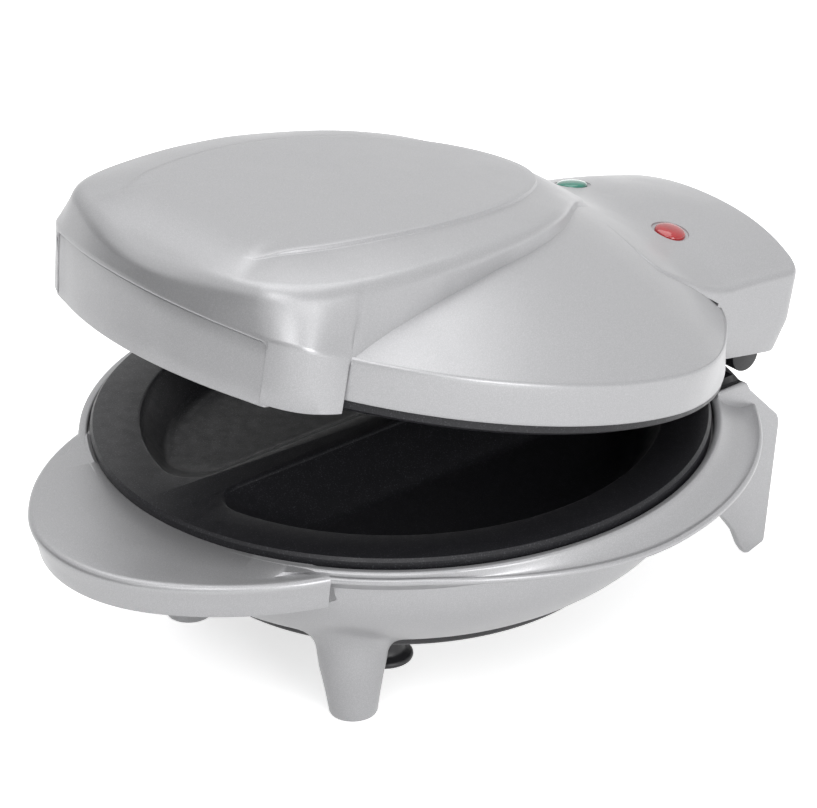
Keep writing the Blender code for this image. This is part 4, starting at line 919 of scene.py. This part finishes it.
@dataclass
class Housing:
    """The hinge housing behind the dome: a crowned top, drawn-in sides and two shallow seats for the lenses."""

    centre: float = 98.0
    steps: int = 240
    plan: tuple[Plan, ...] = (
        (0, 50.0), (24.0, 50.0), (46.0, 50.3), (56.0, 51.5), (61.6, 55.0), (62.6, 62.0), (61.6, 71.0), (60.2, 82.0),
        (58.2, 97.0), (56.4, 112.0), (54.9, 124.0), (54.4, 127.4), (53.6, 130.4), (51.8, 132.8), (49.4, 134.1),
        (46.6, 134.8), (34.0, 136.5), (17.0, 138.0), (0, 138.5))
    edge_radius: float = 3.0
    knee: float = 6.0
    hang: float = -6.0
    pan_room: float = 1.5
    draw: float = 3.0
    wall: float = 2.3
    fillet: float = 7.0
    skirt_radius: float = 113.0

    def build(self) -> Piece:
        """Loft the housing and cut the seats of the two lenses."""
        outline = Outline(self.plan, self.centre)
        angles = self.angles(outline)
        sections = [self.section(outline, angle) for angle in angles]
        piece = loft("housing", [[metres(*point) for point in level] for level in zip(*sections)])
        profile = [(0.0, -0.8), (6.3, -0.8), (6.75, -0.65), (6.95, -0.3), (7.05, 0.3), (7.3, 3.0), (0.0, 3.0)]
        for side in (-1, 1):
            seat = spin("seat", profile, 64)
            seat.data.transform(lens_place(side))
            cut(piece, seat)
        return piece

    def angles(self, outline: Outline) -> list[float]:
        """Return the sections' directions, with those where the wall meets the skirt among them."""

        def outside(angle: float) -> bool:
            x, y = outline.point(angle)
            return hypot(x, y) > self.skirt_radius - draw_in(atan2(y, x), self.skirt_radius, 14.0)

        self.end = crossing(radians(-30.0), radians(30.0), outside)
        return directions(self.steps, [self.end - SEAM, self.end + SEAM])

    def top(self, x: float, y: float) -> float:
        """Return the top's height with a fillet into the dome."""
        return soft_max(housing_top(x, y), dome_height(hypot(x, y)) - 0.2, self.fillet)

    def section(self, outline: Outline, angle: float) -> list[Point]:
        """Return the housing's section in one direction, from the middle of its top out, down and back inside."""
        reach = outline.reach(angle)
        rim = reach - self.edge_radius
        hanging = abs(remainder(angle - pi / 2, tau)) < pi / 2 - self.end

        def place(out: float) -> Plan:
            return (out * cos(angle), self.centre + out * sin(angle))

        points = []
        for s in (0.00001, 0.1, 0.2, 0.3, 0.4, 0.5, 0.59, 0.67, 0.75, 0.82, 0.88, 0.93, 0.97, 1.0):
            x, y = place(rim * s)
            points.append((x, y, self.top(x, y)))
        crest = points[-1][2]
        for tilt in (15, 30, 45, 60, 75, 90):
            turn = radians(tilt)
            outer = place(rim + self.edge_radius * sin(turn))
            points.append((*outer, crest - self.edge_radius * (1 - cos(turn))))
        side = crest - self.edge_radius
        floor = dome_height(hypot(*place(reach))) - 3.0
        if hanging:
            near = 1.0 - ease((hypot(*place(reach - self.draw - self.wall)) - 110.0) / 3.0)
            hang = self.hang + self.pan_room * near
            walls = [(0.0, (side + self.knee + 1.5) / 2), (0.0, self.knee + 1.5), (0.15, self.knee),
                     (0.6, self.knee - 2.0), (self.draw - 0.1, hang + 0.4), (self.draw + 0.2, hang)]
        else:
            walls = [(0.0, side + (floor - side) * s) for s in (0.2, 0.4, 0.55, 0.7, 0.85, 1.0)]
        points += [(*place(reach - inset), height) for inset, height in walls]
        bottom = walls[-1][1]
        inner = reach - walls[-1][0] - self.wall
        x, y = place(inner)
        roof = max(self.top(x, y) - self.wall - 1.0, bottom + 0.1)
        points += [(x, y, bottom), (*place(inner - 0.4), (bottom + roof) / 2), (*place(inner - 1.0), roof)]
        for s in (0.6, 0.00001):
            x, y = place(inner * s)
            points.append((x, y, self.top(x, y) - self.wall))
        return points


def lens_place(side: int) -> Matrix:
    """Return the matrix that stands a piece on the housing's top at a lens, square to the surface there."""
    x, y = side * 26.5, 91.5
    along = (housing_top(x + 0.5, y) - housing_top(x - 0.5, y), housing_top(x, y + 0.5) - housing_top(x, y - 0.5))
    normal = Vector((-along[0], -along[1], 1.0)).normalized()
    turn = normal.to_track_quat("Z", "Y").to_matrix().to_4x4()
    return Matrix.Translation(metres(x, y, housing_top(x, y))) @ turn


@dataclass
class Lens:
    """A round signal lens: a domed cap that stands a little proud of its seat."""

    name: str
    side: int
    finishes: Finishes
    radius: float = 5.7

    def build(self) -> Piece:
        """Spin the lens and seat it."""
        dome = [(self.radius * sin(radians(t)) * 0.97, 1.4 - 1.5 * (1 - cos(radians(t))))
                for t in range(0, 91, 9)]
        profile = dome + [(self.radius, -0.6), (self.radius, -3.4), (0.0, -3.4)]
        piece = spin(f"{self.name}_fine", profile, 64)
        piece.data.transform(lens_place(self.side))
        smooth(piece, 50.0)
        return fit(piece, Body.LID, self.name, self.name, self.finishes)


@dataclass
class Pan:
    """A cast plate with two half-moon wells, each with a long slope beside the bar between them."""

    name: str
    node: str
    body: Body
    finishes: Finishes
    radius: float
    face: float
    back: float
    way: int
    chamfer: float
    lean: float
    well_radius: float = 91.4
    half_bar: float = 6.5
    corner: float = 12.0

    def build(self) -> Piece:
        """Spin the plate, add the wells' thick floors behind it and cut the wells."""
        way, face = self.way, self.face
        profile = [(0.0, face), (self.radius - self.chamfer - 0.35, face),
                   (self.radius - self.chamfer, face - way * 0.1),
                   (self.radius - 0.25, face - way * (self.lean - 0.1)),
                   (self.radius, face - way * (self.lean + 0.2)), (self.radius, self.back), (0.0, self.back)]
        plate = spin(self.name, profile, 288)
        floors = [(-2.6, -2.6, 3.0), (4.6, 15.0, 13.6), (5.6, 16.4, 15.8), (8.0, 18.6, 16.6)]
        wells = [(-1.2, -1.2, -2.0), (-1.0, -1.0, 0.0), (-0.55, -0.6, 0.12), (-0.2, -0.25, 0.42), (0.0, 0.0, 1.0)]
        wells += [(7.4 * s, 18.0 * s, 1.0 + 10.4 * s) for s in (0.2, 0.4, 0.6, 0.8, 1.0)]
        wells += [(8.1, 18.9, 12.5), (9.3, 20.2, 13.4), (11.0, 22.0, 13.9), (13.0, 24.0, 14.0)]
        for side in (-1, 1):
            merge(plate, self.half_moon("back", side, floors))
        for side in (-1, 1):
            cut(plate, self.half_moon("well", side, wells))
        smooth(plate, 30.0)
        return fit(plate, self.body, self.node, "non_stick_coating", self.finishes)

    def half_moon(self, name: str, side: int, levels: Sequence[Point]) -> Piece:
        """Loft a half-moon through levels, each given by what it draws in from the arc and the bar, and its depth."""
        way, face = self.way, self.face
        rings = [self.outline(side, arc, bar, face - way * depth) for arc, bar, depth in levels]
        return loft(name, rings, cap=True)

    def outline(self, side: int, from_arc: float, from_bar: float, height: float) -> list[Point]:
        """Return a half-moon with round corners, drawn in from the round side and from the bar.

        Args:
            side: Minus one for the left well, one for the right.
            from_arc: How far the round side is drawn in.
            from_bar: How far the flat side is drawn in.
            height: The outline's level.

        Returns:
            The outline's points.
        """
        radius, flat, corner = self.well_radius - from_arc, self.half_bar + from_bar, self.corner
        across = flat + corner
        back = sqrt((radius - corner) ** 2 - across ** 2)
        turn = atan2(back, across)
        points = []
        for i in range(14):
            a = -pi + (pi - turn) * i / 13
            points.append((across + corner * cos(a), -back + corner * sin(a)))
        for i in range(1, 60):
            a = -turn + 2 * turn * i / 60
            points.append((radius * cos(a), radius * sin(a)))
        for i in range(14):
            a = turn + (pi - turn) * i / 13
            points.append((across + corner * cos(a), back + corner * sin(a)))
        for i in range(1, 24):
            points.append((flat, back - 2 * back * i / 24))
        return [metres(side * x, y, height) for x, y in points]


@dataclass
class HingeCover:
    """The black cover under the hinge housing, with the two ears that turn on the pin."""

    finishes: Finishes
    axis: float = 127.0
    ear_radius: float = 6.2
    ear_drop: float = 11.2
    front: float = 111.6

    def build(self) -> Piece:
        """Loft the cover's plate and both ears and join them."""
        plan = Outline(Housing().plan, Housing().centre)
        angles = turns(160)

        def ring(inset: float, height: float) -> list[Point]:
            points = []
            for a in angles:
                x, y = plan.point(a, -inset)
                wide = 49.5 if y < self.front else 60.0
                points.append(metres(max(-wide, min(wide, x)), max(y, self.front), height))
            return points

        pieces = [loft("plate", [ring(6.6, 3.6), ring(6.2, 3.2), ring(6.2, 0.9), ring(6.6, 0.5)], cap=True)]
        for side in (-1, 1):
            outline = []
            for turn in range(-180, 64, 9):
                t = radians(turn)
                outline.append((self.axis + self.ear_radius * cos(t), -self.ear_drop + self.ear_radius * sin(t)))
            outline += [(self.axis - 1.5, 2.0), (self.axis - 7.7, 2.0)]
            ear = loft("ear", [[metres(side * x, y, z) for y, z in outline] for x in (27.9, 41.0)], cap=True)
            bevel(ear, 0.5, 2)
            pieces.append(ear)
        cover = join("hinge_cover_fine", pieces)
        smooth(cover, 40.0)
        return fit(cover, Body.LID, "hinge_cover", "black_plastic", self.finishes)


@dataclass
class BottomCover:
    """The black bottom cover, with four posts that the mains lead winds round and a star of vents."""

    finishes: Finishes

    def build(self) -> Piece:
        """Spin the dished cover and its posts and cut the vents."""
        profile = [(0.0, -52.0), (57.6, -52.0), (59.0, -51.8), (60.4, -51.2), (75.4, -48.3), (76.8, -47.9),
                   (77.5, -47.0), (77.5, -45.1), (77.2, -45.0), (74.6, -45.0), (60.0, -48.6), (58.4, -49.2),
                   (0.0, -49.2)]
        cover = spin("bottom_cover_fine", profile, 192)
        for i in range(12):
            turn = tau * (i + 0.5) / 12
            deselect_all()
            bpy.ops.mesh.primitive_cube_add(size=1.0, location=(0.0, 0.0, 0.0))
            slot = bpy.context.object
            slot.data.transform(Matrix.Rotation(turn, 4, "Z") @ Matrix.Translation(metres(24.0, 0.0, -50.6))
                                @ Matrix.Diagonal((0.016, 0.0024, 0.012, 1.0)))
            cut(cover, slot)
        post = [(0.0, -64.0), (8.8, -64.0), (9.7, -63.7), (10.0, -63.0), (9.9, -62.2), (9.3, -61.6), (7.4, -61.0),
                (6.8, -60.2), (6.6, -58.5), (6.9, -53.0), (7.6, -51.6), (7.6, -50.6), (0.0, -50.6)]
        posts = [spin("post", post, 48, (x, y)) for x, y in ((-39, -41), (39, -41), (-39, 41), (39, 41))]
        joined = join("bottom_cover_fine", [cover, *posts])
        smooth(joined, 38.0)
        return fit(joined, Body.BASE, "bottom_cover", "black_plastic", self.finishes)


BOWL_RADIUS, BOWL_DEPTH, BOWL_START = 106.6, 51.6, 10.0     # half axes of its ellipse, and the drop where it begins


def bowl_radius(drop: float) -> float:
    """Return the bowl's radius at a drop below the rim plane, in millimetres."""
    return BOWL_RADIUS * sqrt(1 - ((drop - BOWL_START) / BOWL_DEPTH) ** 2)


def blade_side(height: float) -> float:
    """Return how far a rear blade's outer face stands from the middle at a height, in millimetres."""
    return 63.5 - (2.0 - height) * 0.130


@dataclass
class BaseShell:
    """The base's painted moulding: rim, flange and bowl, front lip, hinge tower, blades and front legs."""

    finishes: Finishes
    rim_outer: float = 113.1
    flange_radius: float = 119.7
    flange_setback: float = 10.0
    steps: int = 288
    lip_top: float = -1.9
    lip_bottom: float = -15.5

    def build(self) -> Piece:
        """Make the moulding and return it."""
        pieces = [self.bowl(), self.lip(), self.leg(-1), self.leg(1), *self.tower()]
        shell = join("base_moulding", pieces)
        smooth(shell, 38.0)
        return fit(shell, Body.BASE, "base_shell", "silver_paint", self.finishes)

    def reach(self, angle: float) -> float:
        """Return how far the flange's edge lies from the pans' centre in a direction."""
        sideways = self.flange_setback * cos(angle)
        along = self.flange_setback * sin(angle)
        return max(along + sqrt(self.flange_radius ** 2 - sideways ** 2), self.rim_outer + 0.5)

    def edge_height(self, angle: float) -> float:
        """Return the height of the flange's edge below the rim plane."""
        return -2.9 - 6.1 * ease((self.reach(angle) - self.rim_outer) / 8.5)

    def bowl(self) -> Piece:
        """Loft the rim, flange and bowl, with the wall's inner side."""
        angles = turns(self.steps)
        rim = [(104.9, -3.4), (109.9, -3.4), (109.9, -0.9), (110.1, -0.45), (110.5, -0.1), (111.0, 0.0), (112.0, 0.0),
               (112.45, -0.1), (112.7, -0.35), (112.85, -0.45), (113.1, -0.8)]
        bowl = [(bowl_radius(d), -d) for d in (10.0, 13.0, 16.5, 20.0, 24.0, 28.0, 32.0, 36.0, 39.5, 42.5, 44.4)]
        inner = [(78.2, -45.0), (66.0, -45.0), (66.0, -42.6), (76.0, -42.6), (88.0, -36.5), (98.0, -26.0),
                 (101.0, -13.1), (104.2, -13.1)]
        rings = [around(angles, r, z) for r, z in rim]
        for share in (0.06, 0.14, 0.24, 0.36, 0.5, 0.64, 0.78, 0.9, 1.0):
            ring = []
            for a in angles:
                end, low = self.reach(a) - 1.6, self.edge_height(a) + 0.3
                fall = 1 - (1 - share) ** 2.2
                reach = self.rim_outer + (end - self.rim_outer) * share
                ring.append(metres(reach * cos(a), reach * sin(a), -0.8 + (low + 0.8) * fall))
            rings.append(ring)
        edges = [(a, self.reach(a), self.edge_height(a)) for a in angles]
        for out, rise in ((-1.3, 0.42), (-0.9, 0.42), (-0.45, 0.2), (-0.12, -0.25), (0.0, -0.8), (-0.1, -1.4),
                          (-0.5, -1.9), (-1.2, -2.2), (-2.6, -2.6)):
            rings.append([metres((reach + out) * cos(a), (reach + out) * sin(a), height + rise)
                          for a, reach, height in edges])
        rings += [around(angles, r, z) for r, z in bowl + inner]
        return loft("bowl", rings, loop=True)

    def lip(self) -> Piece:
        """Sweep the lip's cross-section round its plan; it is solid at its two corners, where it ends."""
        plan = self.lip_plan()
        rings = []
        for i, (x, y) in enumerate(plan):
            before, after = plan[max(i - 1, 0)], plan[min(i + 1, len(plan) - 1)]
            along = Vector((after[0] - before[0], after[1] - before[1])).normalized()
            rings.append(self.lip_section(x, y, (along.y, -along.x)))
        return loft("lip", rings, cap=True)

    def lip_section(self, x: float, y: float, out: Plan) -> list[Point]:
        """Return the lip's cross-section, from its root under the rim out over the top and back below.

        Args:
            x: The plan's place across the cooker.
            y: The plan's place along it.
            out: The plan's outward direction there.

        Returns:
            A ring of twenty points.
        """
        radius = hypot(x, y)
        top, bottom = self.lip_top, self.lip_bottom
        solid = ease((118.0 - radius) / 3.0)

        def at(inset: float, height: float) -> Point:
            px, py = x - out[0] * inset, y - out[1] * inset
            least = 110.2 if height > -5.0 else 105.0
            away = hypot(px, py)
            if away < least:
                px, py = px * least / away, py * least / away
            return metres(px, py, height)

        def root(away: float, height: float) -> Point:
            return metres(x * away / radius, y * away / radius, height)

        roof = top - 3.0 + (bottom + 0.6 - top + 3.0) * solid
        rise = 2.0 * ease((radius - 112.8) / 6.0)
        profile = [(5.0, top + 0.2), (2.6, top), (1.6, top - 0.15), (0.8, top - 0.55), (0.2, top - 1.2),
                   (0.0, top - 2.1), (0.3, top - 3.2), (1.2, top - 5.4), (2.2, top - 8.4), (3.1, bottom + 0.9),
                   (3.5, bottom + 0.2), (4.3, bottom), (5.1, bottom + 0.3), (5.4, bottom + 0.6),
                   (6.0, roof - 0.4 * (1 - solid))]
        return [root(110.2, top + rise), root((110.2 + radius) / 2, top + rise * 0.62),
                *(at(inset, height) for inset, height in profile),
                root((105.0 + radius) / 2 - 3.0, roof), root(105.0, roof), root(105.0, top - 1.5)]

    def lip_plan(self) -> list[Plan]:
        """Return the lip's plan from its left corner round the tip to its right corner."""
        tip, side, sweep, seat = 58.2, 101.5, radians(35.0), -90.2
        half = [(tip * sin(sweep * i / 24), seat - tip * cos(sweep * i / 24)) for i in range(25)]
        middle = (-(side - tip) * sin(sweep), seat + (side - tip) * cos(sweep))
        start, end = sweep - pi / 2, asin((-88.9 - middle[1]) / side)
        for i in range(1, 37):
            turn = start + (end - start) * i / 36
            half.append((middle[0] + side * cos(turn), middle[1] + side * sin(turn)))
        return [(-x, y) for x, y in reversed(half[1:])] + half

    def leg(self, side: int) -> Piece:
        """Loft a front leg from its hollow foot up into the bowl, with a fillet that follows the bowl's curve."""
        x, y = side * 46.2, -61.2
        angles = turns(72)
        foot = [(0.001, -70.0), (5.6, -70.0), (5.9, -73.9), (6.1, -74.6), (6.6, -75.0), (7.4, -75.1), (8.1, -74.7),
                (8.5, -73.9), (8.9, -71.0), (9.7, -66.0), (10.6, -61.0), (11.6, -56.0)]
        rings = [around(angles, r, z, (x, y)) for r, z in foot]

        def on_bowl(t: float, reach: float) -> Point:
            px, py = x + reach * cos(t), y + reach * sin(t)
            away = min(hypot(px, py), 106.0)
            return (px, py, max(-BOWL_START - BOWL_DEPTH * sqrt(1.0 - (away / BOWL_RADIUS) ** 2), -47.5))

        for s in (0.0, 0.15, 0.3, 0.45, 0.6, 0.75, 0.9, 1.0):
            ring = []
            for t in angles:
                top = on_bowl(t, 12.6)
                low = (x + 12.2 * cos(t), y + 12.2 * sin(t), min(top[2] - 6.5, -50.0))
                far = on_bowl(t, 19.5)
                ring.append(metres(*rounded(low, top, far, s)))
            rings.append(ring)
        buried = [on_bowl(t, 21.0) for t in angles]
        rings.append([metres(px, py, height + 0.8) for px, py, height in buried])
        rings += [around(angles, r, -38.0, (x, y)) for r in (8.0, 0.0)]
        return loft("front_leg", rings)

    def tower(self) -> list[Piece]:
        """Make the two leaning blades and the hollow block between them."""
        outline = [(93.0, 2.0), (106.0, 2.0), (107.4, 1.2), (109.4, -2.2), (124.6, -17.9), (125.5, -20.0),
                   (125.9, -22.7), (125.5, -71.6), (125.1, -72.6), (124.4, -73.0), (118.0, -75.1), (116.4, -74.6),
                   (115.0, -73.3), (112.6, -69.8), (108.9, -62.2), (102.2, -53.6), (90.2, -45.4), (71.5, -38.5),
                   (71.5, -32.6), (71.5, -15.6), (93.0, -9.0)]
        pieces = []
        for side in (-1, 1):
            rings = []
            for depth in (3.0, 0.0):
                rings.append([metres(side * (blade_side(z) - depth), y, z) for y, z in outline])
            blade = loft("blade", rings, cap=True)
            bevel(blade, 0.9, 3)
            pieces.append(blade)
        rings = []
        for z, front, back, inner in ((-11.0, 84.0, 111.1, 2.4), (-34.0, 84.0, 111.1, 2.4), (-42.6, 84.0, 102.0, 2.4),
                                      (-45.0, 80.0, 102.5, 0.0), (-34.0, 80.0, 113.5, 0.0), (-11.2, 80.0, 113.5, 0.0),
                                      (-10.8, 80.0, 113.3, 0.2), (-10.8, 84.0, 111.3, 2.2)):
            half = blade_side(z) - 1.5 - inner
            rings.append([metres(x, y, z) for x, y in ((-half, front), (half, front), (half, back), (-half, back))])
        pieces.append(loft("tower", rings, cap=True))
        return pieces


# Stage


@dataclass(frozen=True)
class Stage:
    """White floor, soft lamps and the camera, which is fitted to the photograph."""

    azimuth: float = 50.81
    elevation: float = 27.105
    roll: float = -1.134
    distance: float = 1.9205
    aim: tuple[float, float] = (-0.00631, 0.00883)
    focal_pixels: float = 5440.7
    width_pixels: int = 817
    sensor: float = 36.0

    def build(self) -> None:
        """Make the floor, the light and the camera."""
        self.floor()
        self.flags()
        self.light()
        self.camera()

    def floor(self) -> None:
        """Lay a large white floor that glows a little, so that the cooker's shadow on it stays faint."""
        deselect_all()
        bpy.ops.mesh.primitive_grid_add(x_subdivisions=4, y_subdivisions=4, size=8.0, location=(0.0, 0.0, 0.0))
        floor = bpy.context.object
        floor.name = "floor"
        desk = FinishDesk("white_floor")
        seen = desk.in_view()
        desk.set(desk.shader, Base_Color=desk.blend(seen, "#b4b4b4", "#ffffff"), Roughness=0.9,
                 Emission_Color=linear("#ffffff"), Emission_Strength=desk.ramp(seen, 0.0, 1.0, 0.0, 0.66))
        floor.data.materials.append(desk.material)

    def flags(self) -> None:
        """Stand two dark boards in front for the painted walls to mirror; no view shows the boards themselves."""
        desk = FinishDesk("dark_felt")
        desk.set(desk.shader, Base_Color=linear("#2a2a2c"), Roughness=0.95)
        for name, place, size, turn in (("dark_board", (-0.85, -1.35, 0.50), (2.1, 0.86), -32.0),
                                        ("low_board", (-0.12, -0.70, 0.11), (0.86, 0.20), -6.0)):
            deselect_all()
            bpy.ops.mesh.primitive_grid_add(x_subdivisions=2, y_subdivisions=2, size=1.0, location=place)
            board = bpy.context.object
            board.name = name
            board.visible_camera = False
            bpy.ops.transform.resize(value=(*size, 1.0), center_override=place)
            board.rotation_euler = (radians(90.0), 0.0, radians(turn))
            board.data.materials.append(desk.material)

    def light(self) -> None:
        """Set a white surround and three broad lamps."""
        scene = bpy.context.scene
        scene.world = bpy.data.worlds.new("studio")
        desk = NodeDesk(scene.world, "ShaderNodeOutputWorld")
        plain, white = (desk.add("ShaderNodeBackground", Color=linear("#ffffff"), Strength=strength).outputs[0]
                        for strength in (0.45, 1.0))
        surround = desk.add("ShaderNodeMixShader", i0=desk.in_view(), i1=plain, i2=white)
        desk.set(desk.output, i0=surround.outputs[0])
        scene.view_settings.view_transform = "Standard"
        self.lamp("key", (0.9, -1.1, 1.5), 1.1, 11.0)
        self.lamp("side", (1.9, -0.3, 0.6), 0.8, 15.0)
        self.lamp("top", (-0.3, 0.2, 1.7), 1.6, 14.0)

    def lamp(self, name: str, place: Point, size: float, power: float) -> None:
        """Hang a square lamp that faces the cooker.

        Args:
            name: The lamp's name.
            place: Where it hangs, in metres.
            size: Its side, in metres.
            power: Its power, in watts.
        """
        deselect_all()
        bpy.ops.object.light_add(type="AREA", location=place)
        lamp = bpy.context.object
        lamp.name = name
        lamp.data.size = size
        lamp.data.energy = power
        aim = Vector((0.0, 0.0, 0.08)) - Vector(place)
        lamp.rotation_euler = aim.to_track_quat("-Z", "Y").to_euler()

    def camera(self) -> None:
        """Stand the camera where the photograph was taken from."""
        azimuth, elevation, roll = (radians(turn) for turn in (self.azimuth, self.elevation, self.roll))
        back = Vector((sin(azimuth) * cos(elevation), -cos(azimuth) * cos(elevation), sin(elevation)))
        right = Vector((cos(azimuth), sin(azimuth), 0.0))
        up = back.cross(right)
        across = right * cos(roll) + up * sin(roll)
        upward = up * cos(roll) - right * sin(roll)
        eye = back * self.distance + Vector((self.aim[0], self.aim[1] + CENTRE_Y, RIM_HEIGHT))
        deselect_all()
        bpy.ops.object.camera_add(location=eye)
        camera = bpy.context.object
        camera.matrix_world = Matrix.Translation(eye) @ Matrix((across, upward, back)).transposed().to_4x4()
        camera.data.sensor_width = self.sensor
        camera.data.lens = self.focal_pixels / self.width_pixels * self.sensor
        camera.data.clip_start, camera.data.clip_end = 0.05, 50.0
        bpy.context.scene.camera = camera


def main() -> None:
    """Build the stage, the finishes and every piece in order."""
    logging.basicConfig(level=logging.INFO, format="%(name)s: %(message)s")
    Stage().build()
    finishes = Finishes()
    finishes.dress_frame()
    LidShell(finishes).build()
    GripPanel(finishes).build()
    Lens("red_lens", 1, finishes).build()
    Lens("green_lens", -1, finishes).build()
    HingeCover(finishes).build()
    BaseShell(finishes).build()
    BottomCover(finishes).build()
    Pan("lower_pan", "lower_plate", Body.BASE, finishes, 109.0, 3.0, -3.0, 1, 0.9, 1.0).build()
    Pan("upper_pan", "upper_plate", Body.LID, finishes, 110.3, -5.2, 2.45, -1, 3.3, 1.65).build()


if __name__ == "__main__":
    main()
